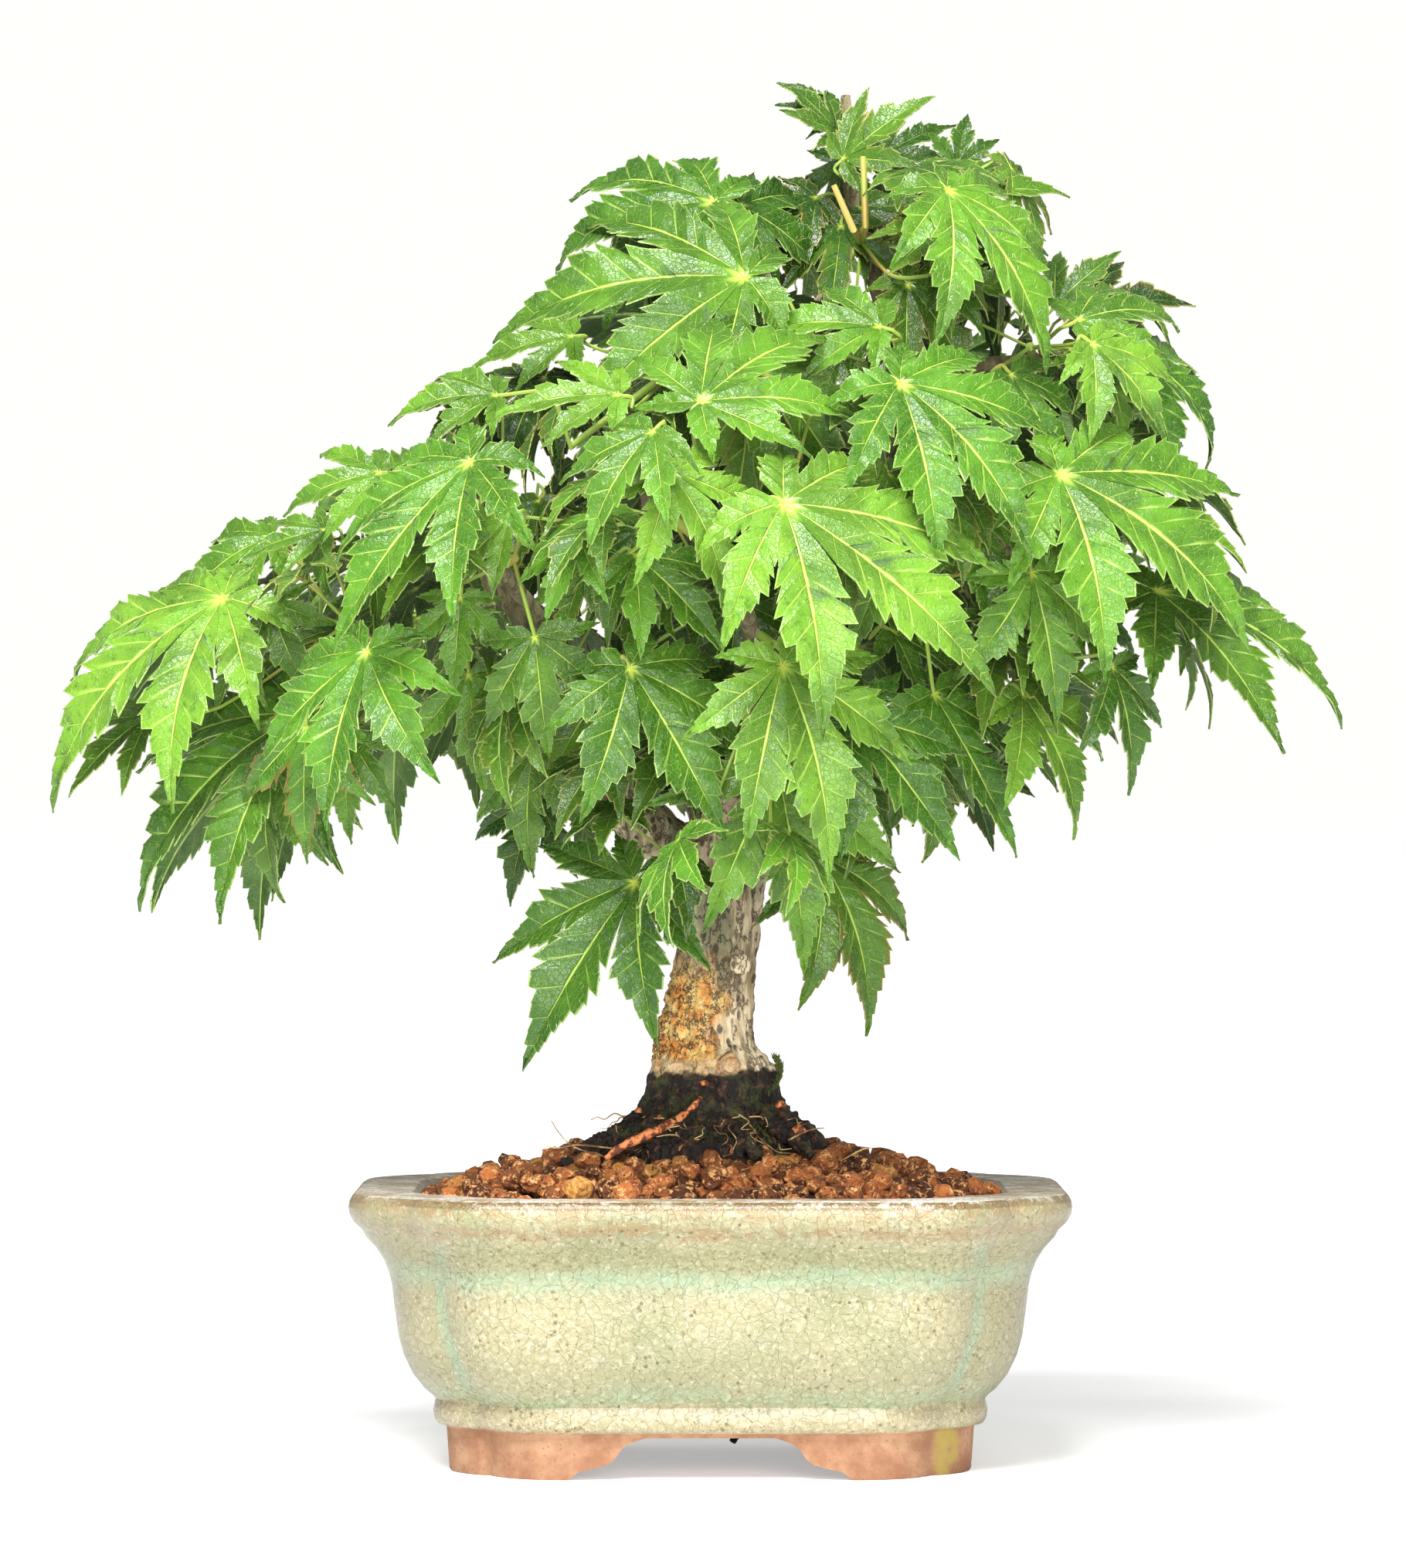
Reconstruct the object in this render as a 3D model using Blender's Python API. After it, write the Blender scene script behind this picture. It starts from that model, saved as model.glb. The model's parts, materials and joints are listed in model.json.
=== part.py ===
"""A shishigashira Japanese maple grown as a bonsai in a lobed, glazed pot, at rest.

Metres, +Z up. The origin is on the table under the middle of the pot, and the
photographed side faces -Y. Lengths below are in millimetres unless they say otherwise."""

import math
import random

import bmesh
import bpy
from mathutils import Matrix, Vector
from mathutils.bvhtree import BVHTree
from mathutils.geometry import delaunay_2d_cdt

MM = 0.001
GAP = 0.3  # left between two pieces that touch

# Pot: half-length of the outline at each height, outside going up and inside going down.
RIM_HALF = 75.0
POT_OUTSIDE = [
    (0.0, 53.4), (9.2, 54.3), (9.9, 56.2), (15.0, 56.6), (20.0, 60.7),
    (28.0, 63.7), (38.0, 64.9), (43.0, 66.3), (48.4, 70.4), (51.5, 72.5), (54.2, 73.7), (57.4, 72.8),
]
POT_INSIDE = [(57.4, 60.0), (55.8, 58.8), (28.0, 56.0), (13.0, 47.0)]
POT_FLOOR_TOP = 13.0
POT_UNDERSIDE = 8.8
ARC_POINTS = 4  # on each rounded corner of the outline
LOBE_SWEEP = 65  # degrees each rounded corner turns before it meets the next in the groove
ARCH = [(28.5, -1.0), (28.5, 0.0), (26.6, 1.7), (20.5, 3.2), (18.6, 5.4), (16.6, 7.3), (13.0, 8.6)]
SIDE_ARCH_SHARE = 0.5  # the arches on the short sides, against the long ones
DRAIN_RADIUS = 7.5

# Drain screen and the wire that holds it
SCREEN_HALF = 11.0
SCREEN_HOLES = 3
SCREEN_THICK = 0.9
WIRE_RADIUS = 0.8

# Soil: a mound of baked-clay grains
SOIL_EDGE = 55.6
SOIL_RISE = 9.6
GRAIN = 6.65
GRAIN_PEAK = 2.1

# Trunk: height, middle in x, half-width, and how strongly the root ridges stand out
TRUNK_RINGS = [
    (50.0, -2.0, 14.0, 0.05), (61.0, -3.6, 21.8, 0.12), (66.0, -3.8, 22.4, 0.14),
    (68.6, -2.4, 19.0, 0.16), (71.6, -0.9, 16.2, 0.13), (75.8, -0.3, 14.0, 0.09),
    (80.0, 0.1, 13.2, 0.06), (84.0, -0.3, 11.6, 0.05), (88.0, -1.4, 10.1, 0.04),
    (98.0, 0.2, 8.7, 0.03), (116.0, 2.3, 8.4, 0.03), (128.0, 3.1, 9.9, 0.05),
    (135.0, 5.2, 8.2, 0.04), (139.0, 7.4, 5.6, 0.03),
]
TRUNK_SIDES = 18
TRUNK_DEPTH = 0.88  # depth against width

# Leaders and branches: (x, y, z, radius) along each
BRANCHES = {
    "right_leader": [(4, 0, 124, 7.5), (8, 2, 140, 6.4), (18.5, 0, 175, 5), (31.5, -4, 205, 4),
                     (39.7, -2, 226, 3.1), (30, 2, 260, 1.9), (28, 0, 283.5, 1.1)],
    "left_leader": [(1, 0, 124, 5.5), (-8, -1, 128, 5.6), (-15.5, -2, 134, 5.3), (-19, -3, 142, 4.8),
                    (-22, -4, 150, 4.5), (-28.5, -4, 159, 4.2), (-37.5, -2, 175.5, 3.5),
                    (-55, 2, 188, 2.5), (-76, -2, 187, 1.8)],
    "centre_leader": [(3, 1, 128, 5), (-5, 4, 148, 4), (-8, 5, 175, 3.4), (-12, 4, 200, 2.6),
                      (-8, 0, 225, 2), (-1, -4, 248, 1.3)],
    "right_low": [(19, 0, 176, 3), (44, -4, 186, 2.5), (66, -8, 190, 1.9), (80, -8, 185, 1.3)],
    "right_high": [(37, -3, 219, 2.5), (54, -8, 226, 2), (68, -10, 228, 1.3)],
    "front_low": [(11, 1, 150, 3), (10, -24, 160, 2.5), (8, -46, 172, 1.9), (4, -60, 184, 1.3)],
    "front_left": [(-28, -4, 158, 2.8), (-34, -24, 172, 2.3), (-42, -44, 184, 1.4)],
    "front_right": [(17.5, 0, 171, 2.8), (30, -24, 180, 2.3), (44, -42, 192, 1.4)],
    "front_high": [(33, -3.5, 209, 2.5), (24, -22, 219, 2), (14, -36, 226, 1.3)],
    "back_low": [(8.5, 2, 142, 3), (10, 26, 158, 2.5), (8, 48, 172, 1.9), (4, 62, 186, 1.3)],
    "back_left": [(-22.5, -4, 151, 2.8), (-36, 22, 170, 2.3), (-44, 44, 184, 1.4)],
    "back_right": [(19.5, 0, 177, 2.8), (34, 26, 184, 2.3), (50, 44, 196, 1.4)],
    "back_high": [(35.5, -3, 214, 2.5), (26, 20, 222, 2), (14, 36, 230, 1.3)],
    "low_right": [(9, 1.5, 143, 2.6), (28, -8, 150, 2), (46, -14, 160, 1.3)],
    "low_left": [(-23, -4, 151.5, 2.4), (-44, -8, 160, 2), (-62, -10, 166, 1.3)],
}
SURFACE_ROOT = [(-1.5, -13.0, 74.5, 1.0), (-6, -15.5, 71.2, 1.3), (-12, -18.4, 68.6, 1.5),
                (-17.0, -18.6, 66.6, 1.2)]
SCARS = [(12.2, -2.0, 80.5, 2.6), (4.2, -11.2, 83.2, 2.4), (-12.5, -2.4, 131.0, 6.2),
         (6.2, -7.4, 103.5, 2.0)]  # burl, ring knot, callus under the left leader, knot hole lip

# Leaves, by spray. Each leaf is x, y, z of its hub, the way its middle lobe points in the
# front view, how far that lobe leans to the viewer, its length, and how far it curls down.
SPRAYS = {
    "left_tip": [(-98, -38, 178, 207, 15, 58, 1.1), (-90, -15, 192, 195, 5, 26, 1.0),
                 (-107, -10, 164, 238, 0, 27, 0.9)],
    "left_low": [(-83, -28, 155, 207, 5, 56, 0.9), (-90, -12, 145, 258, 0, 32, 0.5),
                 (-81, -40, 150, 266, 5, 29, 0.5)],
    "left_front": [(-68, -62, 167, 248, 20, 39, 0.6), (-92, -22, 171, 230, 5, 20, 0.6),
                   (-89, -34, 177, 290, 10, 20, 0.5)],
    "left_under": [(-74, -6, 150, 262, 0, 24, 0.5), (-49, -30, 163, 276, 0, 27, 0.4)],
    "left_upper": [(-47, -74, 204, 222, 20, 46, 0.6), (-66, -45, 203, 188, 5, 24, 0.7)],
    "left_crown": [(-43, -35, 219, 175, 0, 23, 0.6), (-28, -20, 232, 185, 0, 24, 0.7),
                   (-18, -60, 215, 175, 0, 26, 0.5)],
    "left_inner": [(-40, -45, 189, 220, 5, 22, 0.5), (-50, -48, 178, 268, 8, 20, 0.4),
                   (-35, -58, 170, 278, 10, 28, 0.6)],
    "centre_left": [(-11, -80, 204, 228, 15, 27, 0.7), (-26, -70, 188, 248, 15, 20, 0.5)],
    "centre": [(-8, -90, 202, 305, 15, 34, 0.9), (-15, -75, 187, 322, 15, 26, 0.5)],
    "centre_right": [(14, -92, 195, 327, 15, 60, 0.7), (38, -50, 191, 240, 5, 26, 0.4)],
    "crown_front": [(-2, -72, 212, 41, -27, 42, 0.5)],
    "crown_mid": [(34, -58, 234, 168, 0, 28, 0.7), (7, -48, 242, 176, 5, 55, 0.8)],
    "top_left": [(1, -38, 263, 180, 5, 46, 1.1), (6, -30, 264, 325, 10, 28, 0.9),
                 (-8, -10, 254, 210, 0, 22, 0.6)],
    "apex": [(25, -8, 277, 125, -10, 15, 0.4), (28, 2, 273, 255, 10, 20, 0.4),
             (36, 10, 272, 35, -10, 17, 0.4)],
    "top_right": [(47, -55, 259, 318, 15, 42, 0.9),
                  (51, -5, 268, 80, -10, 14, 0.4)],
    "upper_inner": [(46, -28, 244, 350, 5, 22, 0.3), (13, -5, 259, 200, 0, 22, 0.4)],
    "right_upper": [(74, -38, 234, 22, -10, 28, 0.9), (76, -12, 234, 350, 0, 27, 1.0)],
    "right_shoulder": [(60, -58, 227, 308, 15, 26, 0.8), (76, -48, 228, 320, 10, 27, 0.7),
                       (84, -15, 229, 342, 0, 37, 1.2)],
    "right_front": [(37, -68, 216, 323, 18, 47, 0.6), (51, -45, 197, 285, 10, 32, 0.5)],
    "right_mid": [(69, -62, 202, 334, 12, 53, 0.7), (82, -15, 211, 340, 0, 30, 0.9)],
    "right_tip": [(91, -20, 180, 346, 5, 53, 0.9), (76, -8, 181, 302, 0, 26, 0.5)],
    "right_low": [(63, -30, 159, 306, 5, 35, 0.4), (82, -18, 164, 288, 0, 28, 0.4)],
    "right_under": [(45, -35, 159, 298, 5, 37, 0.3), (37, -30, 173, 330, 0, 25, 0.4),
                    (64, -52, 183, 283, 10, 33, 0.6)],
    "front_low": [(14, -78, 164, 298, 15, 44, 0.5), (28, -62, 154, 312, 5, 36, 0.4)],
    "front_left_low": [(-16, -66, 163, 300, 12, 41, 0.5), (-35, -10, 138, 245, 0, 23, 0.4)],
    "trunk_left": [(-36, -28, 148, 262, 0, 27, 0.4)],
    "trunk_sprig_left": [(-15, -42, 121, 231, 15, 43, 0.4)],
    "trunk_sprig_right": [(22, -28, 126, 306, 8, 40, 0.7), (13, -58, 145, 284, 8, 47, 0.4)],
}
# The far side isn't photographed. It repeats these leaves of front sprays turned to face +Y,
# and the two ends carry a few leaves that face along X.
MIRRORED = {
    "back_left": ["left_front", 0, 2], "back_left_low": ["left_low", 0, 2],
    "back_left_high": ["left_upper", 0, 2],
    "back_centre": ["centre_right", 0, 2], "back_centre_left": ["left_inner", 1, 3],
    "back_crown": ["crown_mid", 0, 2], "back_top": ["top_left", 0, 2], "back_right_top": ["top_right", 0, 1],
    "back_right": ["right_mid", 0, 1], "back_right_high": ["right_shoulder", 0, 2],
    "back_right_low": ["right_under", 0, 3], "back_front_right": ["right_front", 0, 2],
    "back_low": ["front_low", 0, 2], "back_low_left": ["front_left_low", 0, 1],
}
SIDEWAYS = {
    "end_right": (90, [(-20, -84, 196, 238, 18, 34, 0.7), (22, -82, 204, 300, 15, 34, 0.7)]),
    "end_right_low": (90, [(6, -74, 168, 280, 10, 30, 0.5)]),
    "end_left": (-90, [(-22, -84, 176, 235, 15, 33, 0.7), (20, -80, 200, 318, 12, 27, 0.6)]),
}
# Old leaf stalks cut short, as paths that leave the spray's node
STUBS = {
    "left_crown": [[(-28, -50, 208), (-31.5, -52, 219)]],
    "upper_inner": [[(29, -30, 253), (25, -31, 262)], [(31.5, -28, 254), (31, -29, 268)]],
}

# A leaf: the angle of each lobe and its length against the middle one
LOBES_WIDE = [(-124, 0.32), (-79, 0.57), (-38, 0.83), (0, 1.0), (38, 0.83), (79, 0.57), (124, 0.32)]
LOBES_FEW = [(-90, 0.46), (-43, 0.80), (0, 1.0), (43, 0.80), (90, 0.46)]
WIDE_FROM = 37.5  # leaves this long have all seven lobes
BLADE_THICK = 0.7
TEST_THICK = 1.9  # blades are tried this thick, so that they clear each other
STALK_RADIUS = 0.5
# How far a stalk bows sideways and outwards, in the order tried
BOWS = [(0, 0), (3, 0), (-3, 0), (0, -3), (5, -3), (-5, -3), (0, 3), (7, 0), (-7, 0), (4, 5), (-4, 5), (0, -7)]

COLOURS = {  # colour, roughness
    "glaze": ((0.55, 0.60, 0.42, 1), 0.25),
    "screen": ((0.03, 0.03, 0.03, 1), 0.6),
    "wire": ((0.10, 0.07, 0.05, 1), 0.5),
    "soil": ((0.22, 0.09, 0.04, 1), 0.95),
    "bark": ((0.34, 0.27, 0.19, 1), 0.85),
    "leaf": ((0.10, 0.32, 0.04, 1), 0.5),
}


def material(name):
    made = bpy.data.materials.get(name)
    if made is None:
        made = bpy.data.materials.new(name)
        made.use_nodes = True
        shader = made.node_tree.nodes["Principled BSDF"]
        shader.inputs["Base Color"].default_value = COLOURS[name][0]
        shader.inputs["Roughness"].default_value = COLOURS[name][1]
    return made


def mesh_object(name, shape, slot):
    """An object of this shape, which is its points in millimetres and its faces."""
    points, faces = shape
    mesh = bpy.data.meshes.new(name)
    mesh.from_pydata([Vector(p) * MM for p in points], [], faces)
    mesh.validate()
    shaped = bmesh.new()
    shaped.from_mesh(mesh)
    bmesh.ops.recalc_face_normals(shaped, faces=shaped.faces)
    shaped.to_mesh(mesh)
    shaped.free()
    obj = bpy.data.objects.new(name, mesh)
    bpy.context.scene.collection.objects.link(obj)
    obj.data.materials.append(material(slot))
    return obj


def joined(name, shapes, slot, solver="EXACT", operation="UNION"):
    """One node: the first shape with all the others united with it, or cut from it, at once."""
    body = mesh_object(name, shapes[0], slot)
    if len(shapes) == 1:
        return body
    group = bpy.data.collections.new(name + "_parts")
    bpy.context.scene.collection.children.link(group)
    helpers = []
    for i, shape in enumerate(shapes[1:]):
        helper = mesh_object(f"{name}_part_{i}", shape, slot)
        bpy.context.scene.collection.objects.unlink(helper)
        group.objects.link(helper)
        helpers.append(helper)
    union = body.modifiers.new("join", "BOOLEAN")
    union.operation = operation
    union.operand_type = "COLLECTION"
    union.collection = group
    union.solver = solver
    bpy.context.view_layer.objects.active = body
    bpy.ops.object.modifier_apply(modifier=union.name)
    for helper in helpers:
        bpy.data.objects.remove(helper)
    bpy.data.collections.remove(group)
    return body


def drop_scrap(obj):
    """Removes loose crumbs that a Boolean left, keeping the body with the most faces."""
    shaped = bmesh.new()
    shaped.from_mesh(obj.data)
    bodies, seen = [], set()
    for face in shaped.faces:
        if face in seen:
            continue
        body, queue = [], [face]
        seen.add(face)
        while queue:
            one = queue.pop()
            body.append(one)
            for edge in one.edges:
                for other in edge.link_faces:
                    if other not in seen:
                        seen.add(other)
                        queue.append(other)
        bodies.append(body)
    bodies.sort(key=len, reverse=True)
    scrap = [face for body in bodies[1:] for face in body]
    if scrap:
        bmesh.ops.delete(shaped, geom=scrap, context="FACES")
        print(obj.name, "dropped", len(scrap), "faces of scrap in", len(bodies) - 1)
    shaped.to_mesh(obj.data)
    shaped.free()


def shade_smooth(obj, angle):
    obj.data.shade_smooth()
    shaped = bmesh.new()
    shaped.from_mesh(obj.data)
    for edge in shaped.edges:
        if len(edge.link_faces) == 2 and edge.calc_face_angle(0) > math.radians(angle):
            edge.smooth = False
    shaped.to_mesh(obj.data)
    shaped.free()


def loft(rings, closed_ends=True):
    """Points and faces of a skin over rings that have the same number of points."""
    count = len(rings[0])
    points = [point for ring in rings for point in ring]
    faces = []
    for level in range(len(rings) - 1):
        for i in range(count):
            a, b = level * count + i, level * count + (i + 1) % count
            faces.append((a, b, b + count, a + count))
    if closed_ends:
        faces.append(tuple(reversed(range(count))))
        faces.append(tuple(range(len(points) - count, len(points))))
    return points, faces


def tube(path, sides):
    """A closed tube along a path of (point, radius), its ends square to the path."""
    places = [Vector(point) for point, _ in path]
    rings = []
    across = None
    for i, (_, radius) in enumerate(path):
        ahead = places[min(i + 1, len(places) - 1)] - places[max(i - 1, 0)]
        ahead.normalize()
        if across is None:
            across = ahead.orthogonal()
        across = (across - ahead * across.dot(ahead)).normalized()
        other = ahead.cross(across)
        ring = []
        for side in range(sides):
            angle = 2 * math.pi * side / sides
            ring.append(places[i] + (across * math.cos(angle) + other * math.sin(angle)) * radius)
        rings.append(ring)
    return loft(rings)


def branch_path(points):
    return [(Vector(p[:3]), p[3]) for p in points]


def block(low, high):
    x0, y0, z0 = low
    x1, y1, z1 = high
    return loft([[(x0, y0, z), (x1, y0, z), (x1, y1, z), (x0, y1, z)] for z in (z0, z1)])


# The pot's outline: two crossed rounded rectangles, so each corner has an inward groove.
def pot_outline(half):
    inset = RIM_HALF - half
    front = 62 - 0.80 * inset
    depth = 57 - 0.95 * inset
    side = 40 - 0.80 * inset
    groove = side + 0.32 * (depth - side)
    sweep = math.radians(LOBE_SWEEP)
    round_end = (half - front) / (1 - math.cos(sweep))
    round_front = (depth - groove) / (1 - math.cos(sweep))
    quarter = []
    for i in range(ARC_POINTS - 1):
        angle = sweep * i / (ARC_POINTS - 1)
        quarter.append((half - round_end + round_end * math.cos(angle),
                        groove - round_end * math.sin(sweep) + round_end * math.sin(angle)))
    for i in range(ARC_POINTS):
        angle = math.pi / 2 - sweep * (1 - i / (ARC_POINTS - 1))
        quarter.append((front - round_front * math.sin(sweep) + round_front * math.cos(angle),
                        depth - round_front + round_front * math.sin(angle)))
    outline = list(quarter)
    outline += [(-x, y) for x, y in reversed(quarter)]
    outline += [(-x, -y) for x, y in quarter]
    outline += [(x, -y) for x, y in reversed(quarter)]
    return outline


def pot_ring(half, height):
    return [(x, y, height) for x, y in pot_outline(half)]


def arch_cutter(share, reach, turned):
    """A prism with the ogee outline of the gap between two feet."""
    outline = [(x * share, z) for x, z in ARCH]
    outline += [(-x, z) for x, z in reversed(outline)]
    if turned:
        rings = [[(at, x, z) for x, z in outline] for at in (-reach, reach)]
    else:
        rings = [[(x, at, z) for x, z in outline] for at in (-reach, reach)]
    return loft(rings)


def build_pot():
    body = loft([pot_ring(half, z) for z, half in POT_OUTSIDE + POT_INSIDE])
    recess = [[(x * 0.86, y * 0.84, z) for x, y in pot_outline(54.0)] for z in (-1.0, POT_UNDERSIDE)]
    hole = [[(DRAIN_RADIUS * math.cos(math.tau * i / 20), DRAIN_RADIUS * math.sin(math.tau * i / 20), z)
             for i in range(20)] for z in (5.0, 16.0)]
    cutters = [loft(recess), arch_cutter(1.0, 70, False),
               arch_cutter(SIDE_ARCH_SHARE, 80, True), loft(hole)]
    pot = joined("pot", [body] + cutters, "glaze", operation="DIFFERENCE")
    shade_smooth(pot, 35)


def build_screen():
    """A square of plastic mesh over the drain hole, and the wire whose legs pass through it."""
    low, high = POT_FLOOR_TOP + GAP, POT_FLOOR_TOP + GAP + SCREEN_THICK
    pitch = 2 * SCREEN_HALF / SCREEN_HOLES
    bar = 0.9
    sheet = block((-SCREEN_HALF, -SCREEN_HALF, low), (SCREEN_HALF, SCREEN_HALF, high))
    holes = []
    for i in range(SCREEN_HOLES):
        for j in range(SCREEN_HOLES):
            x, y = -SCREEN_HALF + i * pitch, -SCREEN_HALF + j * pitch
            holes.append(block((x + bar, y + bar, low - 1), (x + pitch - bar, y + pitch - bar, high + 1)))
    joined("drain_screen", [sheet] + holes, "screen", operation="DIFFERENCE")
    leg = 5.6
    over = high + GAP + WIRE_RADIUS
    path = [(4.6, -1.2, 4.4), (leg + 0.7, 0, 7.0), (leg, 0, 8.6), (leg, 0, over - 1), (leg - 1, 0, over),
            (-leg + 1, 0, over), (-leg, 0, over - 1), (-leg, 0, 8.4), (-leg - 1.2, 0, 6.9),
            (-leg - 6, -0.5, 6.4)]
    joined("drain_wire", [tube([(p, WIRE_RADIUS) for p in path], 6)], "wire")


def trunk_ring(height, middle, half, ridge, grow=0.0):
    ring = []
    for i in range(TRUNK_SIDES):
        angle = math.tau * i / TRUNK_SIDES
        star = math.cos(5 * angle + 0.9) + 0.6 * math.cos(8 * angle + 2.2) + 0.4 * math.cos(3 * angle)
        radius = half * (1 + ridge * star * 0.7) + grow
        ring.append((middle + radius * math.cos(angle), radius * math.sin(angle) * TRUNK_DEPTH, height))
    return ring


def soil_height(x, y):
    away = min(1.0, ((abs(x) / 59.0) ** 2.6 + (abs(y) / 43.0) ** 2.6) ** (1 / 2.6))
    return SOIL_EDGE + SOIL_RISE * (1 - away * away) ** 1.2


def inside(point, loop):
    hit = False
    x, y = point
    for (x0, y0), (x1, y1) in zip(loop, loop[1:] + loop[:1]):
        if (y0 > y) != (y1 > y) and x < (x1 - x0) * (y - y0) / (y1 - y0) + x0:
            hit = not hit
    return hit


def distance_to(point, loop):
    best = 1e9
    spot = Vector(point)
    for a, b in zip(loop, loop[1:] + loop[:1]):
        start, end = Vector(a), Vector(b)
        share = max(0.0, min(1.0, (spot - start).dot(end - start) / (end - start).length_squared))
        best = min(best, (start.lerp(end, share) - spot).length)
    return best


def build_soil():
    """Fills the pot. Its top is a relief with one peak for each grain, and the trunk has a hole."""
    draw = random.Random(41)
    edge = pot_outline(58.1)
    widest = max(TRUNK_RINGS[1:3], key=lambda ring: ring[2])
    hole = [(x, y) for x, y, _ in trunk_ring(*widest, grow=0.75)]
    grains, row = [], 0
    y = -46.0
    while y < 46:
        x = -60.0 + (row % 2) * GRAIN / 2
        while x < 60:
            spot = (x + draw.uniform(-1.2, 1.2), y + draw.uniform(-1.2, 1.2))
            if inside(spot, edge) and not inside(spot, hole):
                if distance_to(spot, edge) > 1.7 and distance_to(spot, hole) > 2.2:
                    grains.append(spot)
            x += GRAIN
        y += GRAIN * 0.866
        row += 1
    valleys = []
    flat, _, cells, _, _, _ = delaunay_2d_cdt([Vector(g) for g in grains], [], [], 0, 1e-5)
    for cell in cells:
        corners = [flat[i] for i in cell]
        if max((corners[i] - corners[i - 1]).length for i in range(3)) < 2.1 * GRAIN:
            spot = sum(corners, Vector((0, 0))) / 3
            if distance_to(spot, edge) > 1.0 and distance_to(spot, hole) > 1.0 and not inside(spot, hole):
                valleys.append(tuple(spot))
    loops = edge + hole
    sides = [(i, (i + 1) % len(edge)) for i in range(len(edge))]
    sides += [(len(edge) + i, len(edge) + (i + 1) % len(hole)) for i in range(len(hole))]
    given = [Vector(p) for p in loops + grains + valleys]
    flat, _, cells, _, _, _ = delaunay_2d_cdt(given, sides, [], 1, 1e-5)
    if len(flat) != len(given):
        raise ValueError("the soil's points fell together")
    points = []
    for i, spot in enumerate(flat):
        height = soil_height(*spot)
        if i >= len(loops) + len(grains):
            height -= 0.9 + draw.uniform(0, 0.5)
        elif i >= len(loops):
            height += GRAIN_PEAK * draw.uniform(0.45, 1.2)
        points.append((spot.x, spot.y, height))
    faces = []
    for cell in cells:
        middle = sum((flat[i] for i in cell), Vector((0, 0))) / len(cell)
        if not inside(middle, hole):
            faces.append(tuple(cell))
    # The sides follow the pot's wall down to its floor, and the hole has a flat bottom.
    count, first = len(edge), 0
    for z, half in ((28.0, 55.4), (POT_FLOOR_TOP + GAP, 46.3)):
        start = len(points)
        points += pot_ring(half, z)
        for i in range(count):
            j = (i + 1) % count
            faces.append((first + j, first + i, start + i, start + j))
        first = start
    faces.append(tuple(reversed(range(first, first + count))))
    start = len(points)
    points += [(x, y, TRUNK_RINGS[0][0] - 0.5) for x, y in hole]
    for i in range(len(hole)):
        j = (i + 1) % len(hole)
        faces.append((count + i, count + j, start + j, start + i))
    faces.append(tuple(start + i for i in range(len(hole))))
    room = SCREEN_HALF + 0.6
    recess = block((-room, -room, POT_FLOOR_TOP - 2), (room, room, POT_FLOOR_TOP + 3.6))
    joined("soil", [(points, faces), recess], "soil", operation="DIFFERENCE")


def around(point, azimuth):
    return Matrix.Rotation(math.radians(azimuth), 3, "Z") @ Vector(point)


def all_sprays():
    """Every spray as name: (azimuth it is seen from, its leaves)."""
    sprays = {name: (0, list(leaves)) for name, leaves in SPRAYS.items()}
    for name, (source, first, after) in MIRRORED.items():
        draw = random.Random(name)
        leaves = []
        for x, y, z, turn, lean, length, droop in SPRAYS[source][first:after]:
            leaves.append((-x + draw.uniform(-7, 7), y + draw.uniform(-5, 3), z + draw.uniform(-6, 6),
                           180 - turn + draw.uniform(-14, 14), lean,
                           length * draw.uniform(0.82, 0.98), droop))
        sprays[name] = (180, leaves)
    sprays.update(SIDEWAYS)
    return sprays


def leaf_frame(leaf, azimuth, nudge, draw):
    """Hub, the way the middle lobe points, the way the upper side faces, and the way across."""
    x, y, z, turn, lean, length, droop = leaf
    shift, pitch, swing, size = nudge
    turn, lean = math.radians(turn + swing), math.radians(lean + pitch)
    along = Vector((math.cos(lean) * math.cos(turn), -math.sin(lean), math.cos(lean) * math.sin(turn)))
    face = Vector((0.004 * x, -0.72, 0.69))
    face = (face - along * face.dot(along)).normalized()
    face = Matrix.Rotation(math.radians(draw.uniform(-12, 12)), 3, along) @ face
    hub = Vector((x, y, z)) + Vector((0, -1, 0.35)) * shift
    return (around(hub, azimuth), around(along, azimuth), around(face, azimuth),
            around(along.cross(face), azimuth), length * size, droop)


def bent(frame, u, v):
    """A point of the flat leaf, u along and v across, on the drooping leaf, and its normal."""
    hub, along, face, across, length, droop = frame
    radius = math.hypot(u, v)
    if radius < 1e-6:
        return hub.copy(), face.copy()
    way = (along * u + across * v) / radius
    turn = droop * radius / length
    rate = droop / length
    point = hub + way * (math.sin(turn) / rate) - face * ((1 - math.cos(turn)) / rate)
    return point, face * math.cos(turn) + way * math.sin(turn)


def lobes_of(length, draw, wide_from=WIDE_FROM):
    lobes = LOBES_WIDE if length >= wide_from else LOBES_FEW
    return [(angle + draw.uniform(-4, 4), share * draw.uniform(0.93, 1.07)) for angle, share in lobes]


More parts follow.
